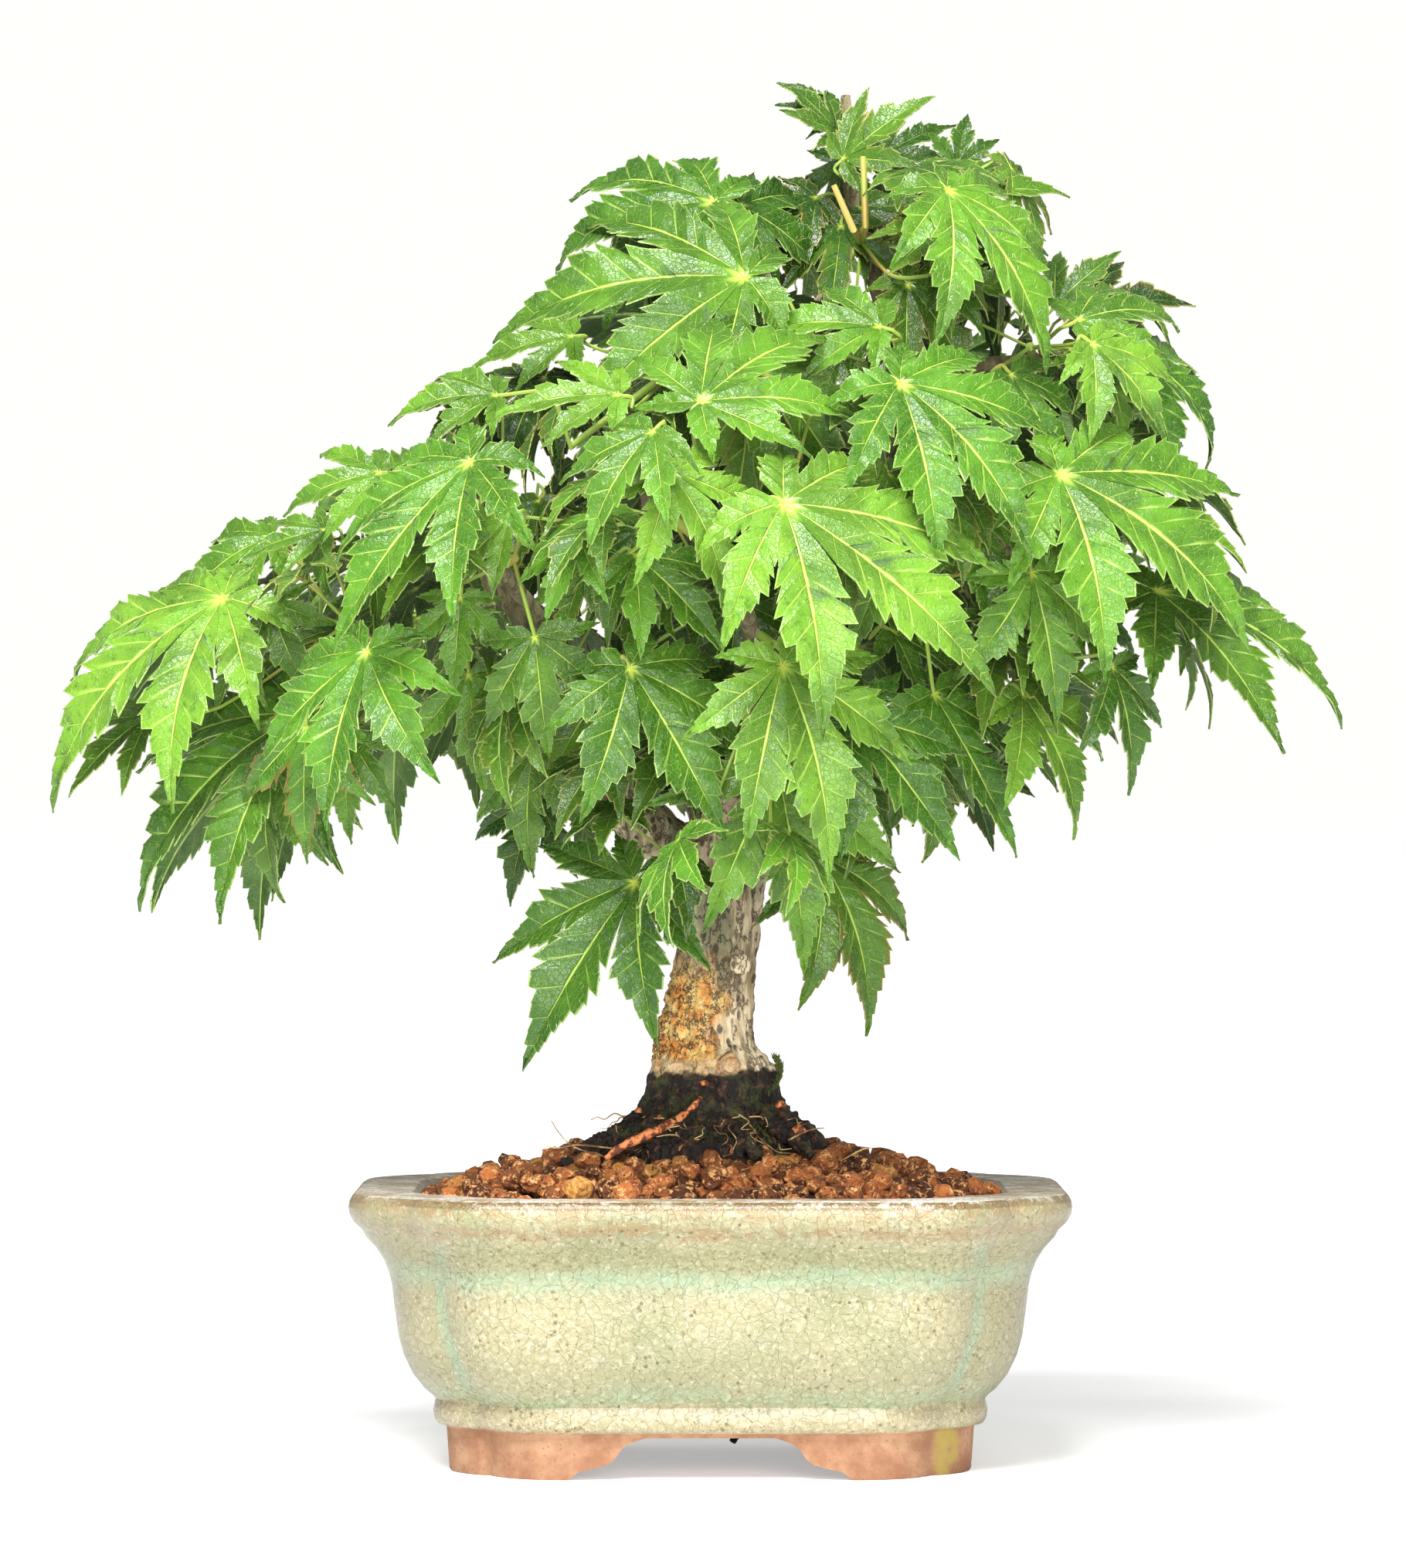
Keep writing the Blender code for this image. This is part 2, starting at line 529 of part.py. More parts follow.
def blade(frame, lobes, thick, path=None):
    """A leaf blade: one outline of lobes and teeth, skinned alike on both faces, with its stalk."""
    length = frame[4]
    outline, faces = [(0.0, -STALK_RADIUS)], []

    def put(angle, along, across):
        angle = math.radians(angle)
        outline.append((length * (along * math.cos(angle) - across * math.sin(angle)),
                        length * (along * math.sin(angle) + across * math.cos(angle))))
        return len(outline) - 1

    before = 0
    last = len(lobes) - 1
    rims = []
    for i, (angle, share) in enumerate(lobes):
        seven = last == 6
        outer = i in (0, last)
        toothed = abs(i - last // 2) <= (1 if seven else 0) and length > 23
        rim = [before]
        if outer and i == 0:
            rim += [put(angle, 0.50 * share, -0.20 * share), put(angle, share, 0)]
        elif outer:
            rim += [put(angle, share, 0), put(angle, 0.50 * share, 0.20 * share)]
        elif toothed:
            rim += [put(angle, 0.55 * share, -0.175 * share), put(angle, 0.61 * share, -0.105 * share),
                    put(angle, share, 0), put(angle, 0.68 * share, 0.09 * share),
                    put(angle, 0.61 * share, 0.165 * share)]
        else:
            rim += [put(angle, 0.57 * share, -0.16 * share), put(angle, share, 0),
                    put(angle, 0.57 * share, 0.16 * share)]
        if i < last:
            angle_2, share_2 = lobes[i + 1]
            rim.append(put((angle + angle_2) / 2, 0.33 * min(share, share_2) + 0.02, 0))
        else:
            outline.append((0.0, STALK_RADIUS))
            rim.append(len(outline) - 1)
        rims.append(rim)
        before = rim[-1]
    left_hub = len(outline) - 1
    for i, rim in enumerate(rims):
        middle = i == last // 2
        hub = 0 if i <= last // 2 else left_hub
        if i == 0 or i == last:
            faces += [(hub, a, b) for a, b in zip(rim, rim[1:]) if hub not in (a, b)]
            continue
        faces.append((hub, rim[0], rim[-1]))
        if middle:
            faces.append((hub, rim[-1], left_hub))
        left, right = 0, len(rim) - 1
        while right - left > 1:
            if left <= len(rim) - 1 - right:
                faces.append((rim[left], rim[left + 1], rim[right]))
                left += 1
            else:
                faces.append((rim[left], rim[right - 1], rim[right]))
                right -= 1
    points = []
    for side in (0.5, -0.5):
        for u, v in outline:
            point, normal = bent(frame, u, v)
            points.append(point + normal * thick * side)
    count = len(outline)
    skin = list(faces) + [(a + count, c + count, b + count) for a, b, c in faces]
    for i in range(count - 1):
        skin += [(i + 1, i, i + count), (i + 1, i + count, i + 1 + count)]
    ring = [left_hub, 0, count, count + left_hub]
    if path:
        ring = add_stalk(points, skin, ring, frame, path)
    skin.append(tuple(ring))
    return points, skin


def add_stalk(points, skin, ring, frame, path):
    """Grows a square stalk out of the blade's back edge, and gives its last ring."""
    _, along, face, across, _, _ = frame
    places = [place for place, _ in path]
    before = -along
    for i, (place, radius) in enumerate(path[1:], 1):
        way = (place - places[i - 1]).normalized()
        if i + 1 < len(places):
            way = (way + (places[i + 1] - place).normalized()).normalized()
        turn = before.rotation_difference(way)
        across, face, before = turn @ across, turn @ face, way
        start = len(points)
        for a, b in ((1, 1), (-1, 1), (-1, -1), (1, -1)):
            points.append(place + across * a * radius + face * b * radius)
        for j in range(4):
            k = (j + 1) % 4
            skin.append((ring[j], ring[k], start + k, start + j))
        ring = [start, start + 1, start + 2, start + 3]
    return ring


def stalk(node, frame, bow):
    """A leaf stalk from the back of the blade to the spray's node."""
    hub, along, face, across, length, droop = frame
    reach = (hub - node).length
    middle = hub - along * (2.5 + reach * 0.24) - face * (0.4 + reach * 0.08)
    middle += across * bow[0] * 0.6 + face * bow[1] * 0.6
    places = [hub, middle, node]
    if (middle - hub).normalized().dot((node - middle).normalized()) < 0.45:
        # The node lies ahead of the leaf, so the stalk turns back under it in two bends.
        aside = across * (bow[0] * 0.8 + (0.5 if bow[0] >= 0 else -0.5))
        behind = hub - along * 2.6 - face * 0.3
        places = [hub, behind, behind - face * (3.0 + 0.5 * abs(bow[1])) + aside - along * 0.6, node]
    elif bow == (0, 0) and (node - hub).normalized().dot(-along) > 0.9:
        places = [hub, node]
    return [(place, STALK_RADIUS) for place in places]


class Room:
    """The pieces already standing, to try a new one against."""

    def __init__(self):
        self.pieces = []

    def add(self, owner, shape):
        points = [Vector(p) for p in shape[0]]
        low = Vector([min(p[i] for p in points) for i in range(3)])
        high = Vector([max(p[i] for p in points) for i in range(3)])
        self.pieces.append((owner, BVHTree.FromPolygons(points, shape[1]), low, high))

    def meets(self, shape, but=()):
        points = [Vector(p) for p in shape[0]]
        low = Vector([min(p[i] for p in points) for i in range(3)])
        high = Vector([max(p[i] for p in points) for i in range(3)])
        tree = BVHTree.FromPolygons(points, shape[1])
        for owner, other, other_low, other_high in self.pieces:
            if owner in but or any(low[i] > other_high[i] or high[i] < other_low[i] for i in range(3)):
                continue
            if tree.overlap(other):
                return True
        return False


def nudges():
    """Small changes to a leaf's place, in the order they are tried."""
    steps = [(0, 0, 0, 1)]
    for shift in (2, -2, 4, -4, 6.5, -6.5, 9, -9, 12, -12):
        steps.append((shift, 0, 0, 1))
    for size in (1, 0.85):
        for pitch, swing in ((10, 0), (-10, 0), (0, 9), (0, -9), (16, 8), (-16, -8), (22, -12), (-20, 12)):
            for shift in (0, 3, -3, 6, -6, 10, -10, 14, -14):
                steps.append((shift, pitch, swing, size))
    return steps


def nearest_branch(target):
    """The place along a branch that best carries a spray at the target."""
    best = None
    for points in BRANCHES.values():
        for a, b in zip(points, points[1:]):
            for step in range(5):
                place = Vector(a[:3]).lerp(Vector(b[:3]), step / 4)
                if place.z < 112:
                    continue
                cost = (place - target).length + 0.6 * max(0.0, place.z - target.z)
                if best is None or cost < best[0]:
                    best = (cost, place, a[3] + (b[3] - a[3]) * step / 4)
    return best[1], best[2]


def place_leaf(name, i, leaf, azimuth, node, room):
    """The first small change to the leaf that leaves its blade and its stalk clear."""
    for nudge in nudges():
        draw = random.Random(f"{name} {i}")
        frame = leaf_frame(leaf, azimuth, nudge, draw)
        lobes = lobes_of(leaf[5], draw, WIDE_FROM if azimuth == 0 else 99)
        if room.meets(blade(frame, lobes, TEST_THICK)):
            continue
        own = Room()
        own.add("blade", blade(frame, lobes, BLADE_THICK))
        for bow in BOWS:
            path = stalk(node, frame, bow)
            if room.meets(tube([(p, r + 0.45) for p, r in path], 4), but=(name,)):
                continue
            clear = [(path[0][0].lerp(path[1][0], 0.3), STALK_RADIUS + 0.1)] + path[1:]
            if not own.meets(tube(clear, 4)):
                return nudge, frame, lobes, path
    return None


def plan_sprays(room):
    """Twigs, green shoots, stalks and blades, each bent clear of those before it."""
    sprays, twigs = all_sprays(), []
    plan = {}
    for name, (azimuth, leaves) in sprays.items():
        anchors = []
        for leaf in leaves:
            frame = leaf_frame(leaf, azimuth, (0, 0, 0, 1), random.Random(name))
            anchors.append(frame[0] - frame[1] * 7)
        middle = sum(anchors, Vector()) / len(anchors)
        foot, thick = nearest_branch(middle)
        way = middle - foot
        reach = way.length
        way.normalize()
        sideways = way.orthogonal().normalized()
        for step in range(80):
            aside = Matrix.Rotation(step * 2.4, 3, way) @ sideways * (0.7 * step ** 0.75)
            base = foot + way * max(4.0, reach - 20) + aside
            node = foot + way * max(9.0, reach - 13) + aside * 1.3
            twig = [(foot, min(thick * 0.8, 1.7)), (base, 1.1)]
            heading = (base - twig[-2][0]).normalized()
            start = base + heading * GAP
            shoot = [(start, 0.95), (node, 0.95)]
            wood = tube(twig, 3)
            alone = Room()
            alone.add("wood", wood)
            green = tube([(p, r + 0.03) for p, r in shoot], 4)
            if not (room.meets(green) or alone.meets(green) or room.meets(wood, but=("wood",))):
                break
        else:
            print("shoot not clear", name)
        twigs.append(wood)
        room.add("wood", wood)
        room.add(name, tube(shoot, 4))
        plan[name] = (node.lerp(start, 0.15), shoot)
    shapes = {}
    for name, (node, shoot) in plan.items():
        shapes[name] = [tube(shoot, 4)]
        for path in STUBS.get(name, []):
            stub = tube([(node, 0.8), (Vector(path[0]), 0.75), (Vector(path[1]), 0.7)], 4)
            room.add(name, stub)
            shapes[name].append(stub)
    order = [(name, i) for name, (_, leaves) in sprays.items() for i in range(len(leaves))]
    order.sort(key=lambda one: (one[0] not in SPRAYS, -sprays[one[0]][1][one[1]][5]))
    missed = 0
    for name, i in order:
        azimuth, leaves = sprays[name]
        node, shoot = plan[name]
        node = node.lerp(shoot[0][0], 0.09 * i) + Vector((0.07, -0.05, 0.06)) * (i + 1)
        placed = place_leaf(name, i, leaves[i], azimuth, node, room)
        if placed is None:
            missed += 1
            print("no room for", name, i)
            continue
        nudge, frame, lobes, path = placed
        if nudge != (0, 0, 0, 1):
            print("moved", name, i, nudge)
        room.add("blades", blade(frame, lobes, BLADE_THICK))
        room.add(name, tube(path, 4))
        shapes[name].append(blade(frame, lobes, BLADE_THICK, path))
    print("leaves without room:", missed)
    return twigs, shapes


def build_plant():
    room = Room()
    stem = loft([trunk_ring(*ring) for ring in TRUNK_RINGS])
    limbs = []
    for name, points in BRANCHES.items():
        thick = points[0][3] > 4
        limbs.append(tube(branch_path(points), 6 if thick else 4))
    room.add("wood", stem)
    for limb in limbs:
        room.add("wood", limb)
    scars = []
    for x, y, z, size in SCARS:
        bump = bmesh.new()
        bmesh.ops.create_icosphere(bump, subdivisions=1, radius=size)
        scars.append(([v.co + Vector((x, y, z)) for v in bump.verts],
                      [tuple(v.index for v in f.verts) for f in bump.faces]))
        bump.free()
    root = tube(branch_path(SURFACE_ROOT), 5)
    twigs, sprays = plan_sprays(room)
    trunk = joined("trunk", [stem] + limbs + [root] + scars + twigs, "bark", solver="MANIFOLD")
    drop_scrap(trunk)
    shade_smooth(trunk, 50)
    for name, shapes in sprays.items():
        spray = joined("spray_" + name, shapes, "leaf")
        drop_scrap(spray)


for old in list(bpy.data.objects):
    bpy.data.objects.remove(old)
build_pot()
build_screen()
build_soil()
build_plant()
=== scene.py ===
"""A shishigashira Japanese maple bonsai in a lobed celadon pot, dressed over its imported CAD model.

Metres, +Z up, the photographed side faces -Y. Shapes are written in millimetres, and the
materials measure in metres."""

import math
import random

import bmesh
import bpy
import numpy as np
from mathutils import Matrix, Vector, noise
from mathutils.bvhtree import BVHTree
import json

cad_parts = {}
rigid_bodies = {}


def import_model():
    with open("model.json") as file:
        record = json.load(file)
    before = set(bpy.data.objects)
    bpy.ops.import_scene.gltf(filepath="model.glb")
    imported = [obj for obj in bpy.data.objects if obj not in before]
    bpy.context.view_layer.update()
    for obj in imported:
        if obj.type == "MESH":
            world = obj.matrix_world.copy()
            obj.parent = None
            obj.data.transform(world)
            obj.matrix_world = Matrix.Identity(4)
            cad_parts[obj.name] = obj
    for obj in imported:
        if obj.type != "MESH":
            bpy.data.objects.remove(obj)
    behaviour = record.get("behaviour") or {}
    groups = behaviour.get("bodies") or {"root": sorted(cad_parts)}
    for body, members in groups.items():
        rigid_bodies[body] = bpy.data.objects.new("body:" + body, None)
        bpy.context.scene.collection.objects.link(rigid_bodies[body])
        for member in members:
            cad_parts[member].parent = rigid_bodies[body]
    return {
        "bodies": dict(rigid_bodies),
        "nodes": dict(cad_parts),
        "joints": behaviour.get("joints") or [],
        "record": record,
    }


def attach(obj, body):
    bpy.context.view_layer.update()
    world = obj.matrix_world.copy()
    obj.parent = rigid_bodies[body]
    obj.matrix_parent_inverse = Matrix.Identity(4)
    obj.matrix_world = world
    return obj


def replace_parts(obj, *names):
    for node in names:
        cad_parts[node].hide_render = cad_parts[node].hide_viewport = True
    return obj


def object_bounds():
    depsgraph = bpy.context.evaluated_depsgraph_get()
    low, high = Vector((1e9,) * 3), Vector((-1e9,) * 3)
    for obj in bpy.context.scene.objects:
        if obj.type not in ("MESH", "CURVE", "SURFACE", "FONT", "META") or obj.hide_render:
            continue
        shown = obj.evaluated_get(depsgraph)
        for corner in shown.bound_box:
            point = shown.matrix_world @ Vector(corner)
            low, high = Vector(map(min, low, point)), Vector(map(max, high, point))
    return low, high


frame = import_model()
cad_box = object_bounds()

MM = 0.001
EYE = (-1.5, -1400.0, 140.6)  # the camera's place: it looks level at mid-height


def clamped(value, most=1.0):
    return max(0.0, min(most, value))


# Materials: the helpers add nodes to the tree that was set last, by new_finish or by hand.
def put(socket, value):
    """Gives a socket a value, or joins it to another node's output."""
    if isinstance(value, bpy.types.NodeSocket):
        tree.links.new(value, socket)
    else:
        socket.default_value = value


def node(kind, inputs=(), **settings):
    made = tree.nodes.new(kind)
    for name, value in settings.items():
        setattr(made, name, value)
    for socket, value in dict(inputs).items():
        put(made.inputs[socket], value)
    return made


def new_finish(name, roughness, inputs=()):
    """A new material, whose shader and object coordinates the next lines use."""
    global tree, shader, where
    finish = bpy.data.materials.new(name)
    finish.use_nodes = True
    tree = finish.node_tree
    shader = tree.nodes["Principled BSDF"]
    for socket, value in {"Roughness": roughness, **dict(inputs)}.items():
        shader.inputs[socket].default_value = value
    where = node("ShaderNodeTexCoord").outputs["Object"]
    return finish


def axes():
    return node("ShaderNodeSeparateXYZ", {"Vector": where}).outputs


def stretched(stretch):
    return node("ShaderNodeMapping", {"Vector": where, "Scale": stretch}).outputs[0]


def grain(scale, detail=3.0, roughness=0.55, stretch=(1, 1, 1)):
    """Noise of about 1/scale metres between blobs, from 0 to 1."""
    inputs = {"Vector": stretched(stretch), "Scale": scale, "Detail": detail, "Roughness": roughness}
    return node("ShaderNodeTexNoise", inputs).outputs["Fac"]


def cells(scale, at=None, feature="F1"):
    """The distance to the middle of cells of about 1/scale metres, or to their edges."""
    inputs = {"Vector": at or where, "Scale": scale}
    return node("ShaderNodeTexVoronoi", inputs, feature=feature).outputs["Distance"]


def reckon(operation, a, b=0.0):
    return node("ShaderNodeMath", {0: a, 1: b}, operation=operation).outputs[0]


def times(a, b):
    return reckon("MULTIPLY", a, b)


def plus(a, b):
    return reckon("ADD", a, b)


def highest(a, b):
    return reckon("MAXIMUM", a, b)


def from_middle(value):
    """How far a value from 0 to 1 lies from 0.5."""
    return reckon("ABSOLUTE", reckon("SUBTRACT", value, 0.5))


def step(value, low, high, to_low=0.0, to_high=1.0):
    """Smoothly from to_low at low to to_high at high."""
    inputs = {"Value": value, "From Min": low, "From Max": high, "To Min": to_low, "To Max": to_high}
    return node("ShaderNodeMapRange", inputs, interpolation_type="SMOOTHSTEP").outputs[0]


def band(value, start, full, ebb, end):
    """1 between full and ebb, and smoothly down to 0 at start and end."""
    return times(step(value, start, full), step(value, end, ebb))


def layered(colour, *layers):
    """A ground colour under layers of (share, colour), each laid over those before it."""
    for share, above in layers:
        mix = node("ShaderNodeMix", {"Factor": share}, data_type="RGBA")
        for socket, value in ((mix.inputs[6], colour), (mix.inputs[7], above)):
            put(socket, (*value, 1) if isinstance(value, tuple) else value)
        colour = mix.outputs[2]
    return colour


def finish_off(colour, height=None, distance=0.0, strength=1.0):
    """Joins the colour, and the height that the light sees, to the shader."""
    put(shader.inputs["Base Color"], colour)
    if height:
        bump = node("ShaderNodeBump", {"Height": height, "Distance": distance, "Strength": strength})
        put(shader.inputs["Normal"], bump.outputs[0])


# Shapes: points and faces in millimetres, which become objects at the origin.
def loft(rings):
    """Points and faces of a closed skin over rings that have the same number of points."""
    count = len(rings[0])
    points = [point for ring in rings for point in ring]
    faces = []
    for level in range(len(rings) - 1):
        for i in range(count):
            a, b = level * count + i, level * count + (i + 1) % count
            faces.append((a, b, b + count, a + count))
    faces.append(tuple(reversed(range(count))))
    faces.append(tuple(range(len(points) - count, len(points))))
    return points, faces


def merged(shapes):
    points, faces = [], []
    for some, sides in shapes:
        start = len(points)
        points += list(some)
        faces += [tuple(start + i for i in side) for side in sides]
    return points, faces


def ball(radius, rounds):
    """Points and faces of an icosphere."""
    bpy.ops.mesh.primitive_ico_sphere_add(subdivisions=rounds, radius=radius)
    made = bpy.context.object
    shape = [v.co.copy() for v in made.data.vertices], [tuple(f.vertices) for f in made.data.polygons]
    bpy.data.objects.remove(made)
    return shape


def smooth_path(points, steps):
    """A Catmull-Rom curve through points of any number of values, steps to a span."""
    given = np.array(points, float)
    padded = np.vstack([2 * given[0] - given[1], given, 2 * given[-1] - given[-2]])
    path = []
    for i in range(len(given) - 1):
        a, b, c, d = padded[i:i + 4]
        for t in np.arange(steps) / steps:
            path.append(0.5 * (2 * b + (c - a) * t + (2 * a - 5 * b + 4 * c - d) * t ** 2
                               + (3 * b - a - 3 * c + d) * t ** 3))
    return path + [given[-1]]


def limb_path(points, steps=6):
    return [(Vector(p[:3]), p[3]) for p in smooth_path(points, steps)]


def tube(path, sides):
    """A closed tube along a path of (point, radius), its ends square to the path."""
    places = [Vector(point) for point, _ in path]
    rings = []
    across = None
    for i, (_, radius) in enumerate(path):
        ahead = places[min(i + 1, len(places) - 1)] - places[max(i - 1, 0)]
        ahead.normalize()
        if across is None:
            across = ahead.orthogonal()
        across = (across - ahead * across.dot(ahead)).normalized()
        other = ahead.cross(across)
        ring = []
        for side in range(sides):
            angle = 2 * math.pi * side / sides
            ring.append(places[i] + (across * math.cos(angle) + other * math.sin(angle)) * radius)
        rings.append(ring)
    return loft(rings)


def new_piece(name, mesh, finishes):
    piece = bpy.data.objects.new(name, mesh)
    bpy.context.scene.collection.objects.link(piece)
    for finish in finishes:
        mesh.materials.append(finish)
    return piece


def mesh_piece(name, points, faces, *finishes):
    """An object of this shape, its faces turned outwards."""
    mesh = bpy.data.meshes.new(name)
    mesh.from_pydata([Vector(point) * MM for point in points], [], faces)
    shaped = bmesh.new()
    shaped.from_mesh(mesh)
    bmesh.ops.recalc_face_normals(shaped, faces=shaped.faces)
    shaped.to_mesh(mesh)
    shaped.free()
    return new_piece(name, mesh, finishes)


def select_only(piece):
    bpy.ops.object.select_all(action="DESELECT")
    piece.select_set(True)
    bpy.context.view_layer.objects.active = piece


def modify(piece, kind, **settings):
    """Adds a modifier of this kind and applies it."""
    select_only(piece)
    modifier = piece.modifiers.new(kind.lower(), kind)
    for name, value in settings.items():
        setattr(modifier, name, value)
    bpy.ops.object.modifier_apply(modifier=modifier.name)


def cut(piece, cutter):
    """Cuts one shape out of a piece and removes the cutter."""
    modify(piece, "BOOLEAN", operation="DIFFERENCE", object=cutter)
    bpy.data.objects.remove(cutter)


def smooth(piece, degrees):
    """Shades the piece smooth, with edges sharper than this left crisp."""
    select_only(piece)
    bpy.ops.object.shade_smooth_by_angle(angle=math.radians(degrees))


# The studio: a white floor that runs out to a white room, and a broad soft light high in front
# of the pot. Only the camera sees the floor's glow and the room's full brightness.
white = new_finish("white_floor", 0.75, {"Base Color": (0.93, 0.93, 0.93, 1), "Specular IOR Level": 0.1,
                                         "Emission Color": (1, 1, 1, 1)})
outwards = node("ShaderNodeVectorMath", {0: where}, operation="LENGTH").outputs["Value"]
glow = node("ShaderNodeMapRange", {"Value": outwards, "From Min": 0.15, "From Max": 1.2,
                                   "To Min": 0.40, "To Max": 0.70}).outputs[0]
camera_sees = node("ShaderNodeLightPath").outputs["Is Camera Ray"]
put(shader.inputs["Emission Strength"], times(glow, camera_sees))
bpy.ops.mesh.primitive_plane_add(size=80, location=(0, 0, 0))
floor = bpy.context.object
floor.name = "floor"
floor.data.materials.append(white)

room_light = bpy.data.worlds.new("white_room")
room_light.use_nodes = True
tree = room_light.node_tree
camera_sees = node("ShaderNodeLightPath").outputs["Is Camera Ray"]
strength = node("ShaderNodeMapRange", {"Value": camera_sees, "To Min": 0.33, "To Max": 1.02})
put(tree.nodes["Background"].inputs["Strength"], strength.outputs[0])
put(tree.nodes["Background"].inputs["Color"], (1, 0.985, 0.96, 1))
bpy.context.scene.world = room_light
bpy.context.scene.view_settings.view_transform = "Standard"
for name, place, power in (("key", (-0.30, -1.15, 1.6), 64), ("fill", (0.3, -1.7, 0.35), 24)):
    bpy.ops.object.light_add(type="AREA", location=place)
    lamp = bpy.context.object
    lamp.name = name
    lamp.data.size = 0.8
    lamp.data.energy = power
    lamp.rotation_euler = (Vector((0, 0, 0.14)) - Vector(place)).to_track_quat("-Z", "Y").to_euler()

bpy.ops.object.camera_add(location=Vector(EYE) * MM, rotation=(math.pi / 2, 0, 0))
camera = bpy.context.object
camera.data.sensor_width = 36
camera.data.lens = 155.1
camera.data.clip_end = 50
bpy.context.scene.camera = camera

# Pot: thrown stoneware with a mokko outline, two crossed rounded rectangles, so that a soft
# groove runs down at each corner. Celadon glaze down to a rounded bead, bare clay feet under it.
RIM_HALF = 75.0
FRONT_ROWS, SIDE_ROWS, ARC_ROWS = 14, 6, 12
POT_OUTSIDE = [
    (0.0, 53.2), (0.5, 53.5), (9.0, 54.1), (9.5, 54.6), (9.9, 55.9), (10.8, 56.5), (12.4, 56.8),
    (14.0, 56.5), (14.9, 56.3), (15.5, 56.8), (17.0, 58.5), (20.0, 60.8), (24.0, 62.7), (28.0, 63.8),
    (34.0, 64.6), (38.5, 65.1), (41.0, 65.7), (43.5, 66.6), (46.0, 68.1), (48.4, 70.2), (50.0, 71.1),
    (50.7, 71.8), (51.6, 72.7), (53.2, 73.5), (54.6, 73.7), (55.8, 73.5), (56.8, 73.0), (57.3, 72.2),
]
POT_INSIDE = [(57.4, 70.2), (57.3, 66.0), (57.35, 61.5), (57.1, 60.3), (56.2, 59.2), (50.0, 58.4),
              (28.0, 56.0), (13.0, 47.0)]
RIM_TOP, GLAZE_FROM = 57.0, 9.55
ARCH = [(28.5, -1.0), (28.5, 0.0), (28.0, 0.7), (26.6, 1.7), (23.5, 2.4), (20.8, 3.2), (19.4, 4.2),
        (18.6, 5.4), (17.8, 6.5), (16.6, 7.3), (15.0, 8.0), (13.0, 8.6)]


def pot_outline(half, arc=4, front_rows=1, side_rows=1):
    """The pot's outline where its half-length is half, counter-clockwise from the right side."""
    inset = RIM_HALF - half
    front = 62 - 0.80 * inset
    depth = 57 - 0.95 * inset
    side = 40 - 0.80 * inset
    groove = side + 0.32 * (depth - side)
    sweep = math.radians(65)
    round_end = (half - front) / (1 - math.cos(sweep))
    round_front = (depth - groove) / (1 - math.cos(sweep))
    low, end = groove - round_end * math.sin(sweep), front - round_front * math.sin(sweep)
    quarter = [(half, low * i / side_rows) for i in range(1, side_rows)]
    for i in range(arc - 1):
        angle = sweep * i / (arc - 1)
        quarter.append((half - round_end + round_end * math.cos(angle), low + round_end * math.sin(angle)))
    for i in range(arc):
        angle = math.pi / 2 - sweep * (1 - i / (arc - 1))
        quarter.append((end + round_front * math.cos(angle),
                        depth - round_front + round_front * math.sin(angle)))
    quarter += [(end * (1 - i / front_rows), depth) for i in range(1, front_rows)]
    return (quarter + [(-x, y) for x, y in reversed(quarter)]
            + [(-x, -y) for x, y in quarter] + [(x, -y) for x, y in reversed(quarter)])


glaze = new_finish("celadon_glaze", 0.22, {"Coat Weight": 0.25, "Coat Roughness": 0.12})
place = axes()
cloud, fine, peel = grain(38, 4), grain(260, 5, 0.7), grain(1000, 3, 0.65)
height = plus(place[2], times(reckon("SUBTRACT", cloud, 0.5), 0.006))
across = reckon("ABSOLUTE", place[0])
# Where the glaze pools: in the cove under the lip, over the bead and down the grooves
from_groove = reckon("SUBTRACT", across, step(height, 0.012, 0.036, 0.0483, 0.0543))
groove = times(step(reckon("ABSOLUTE", from_groove), 0.0019, 0.0004), step(height, 0.052, 0.046))
cove = band(height, 0.0375, 0.0415, 0.0425, 0.0450)
skirt = band(height, 0.0142, 0.0155, 0.0165, 0.0205)
pool = times(highest(highest(cove, skirt), groove), step(fine, 0.34, 0.6, 0.1, 0.75))
# Where it runs thin: on the bead, under the lip and at the rim
bead = band(height, 0.0085, 0.0098, 0.0148, 0.0158)
under_lip = band(height, 0.0494, 0.0504, 0.0516, 0.0532)
edge = band(height, 0.0525, 0.0555, 0.0570, 0.0585)
rusty = times(highest(times(under_lip, 0.6), times(edge, 0.75)), step(grain(170, 6, 0.8), 0.44, 0.54))
line = band(place[2], 0.0555, 0.0561, 0.05715, 0.05728)
olive = band(height, 0.0410, 0.0440, 0.0470, 0.0500)
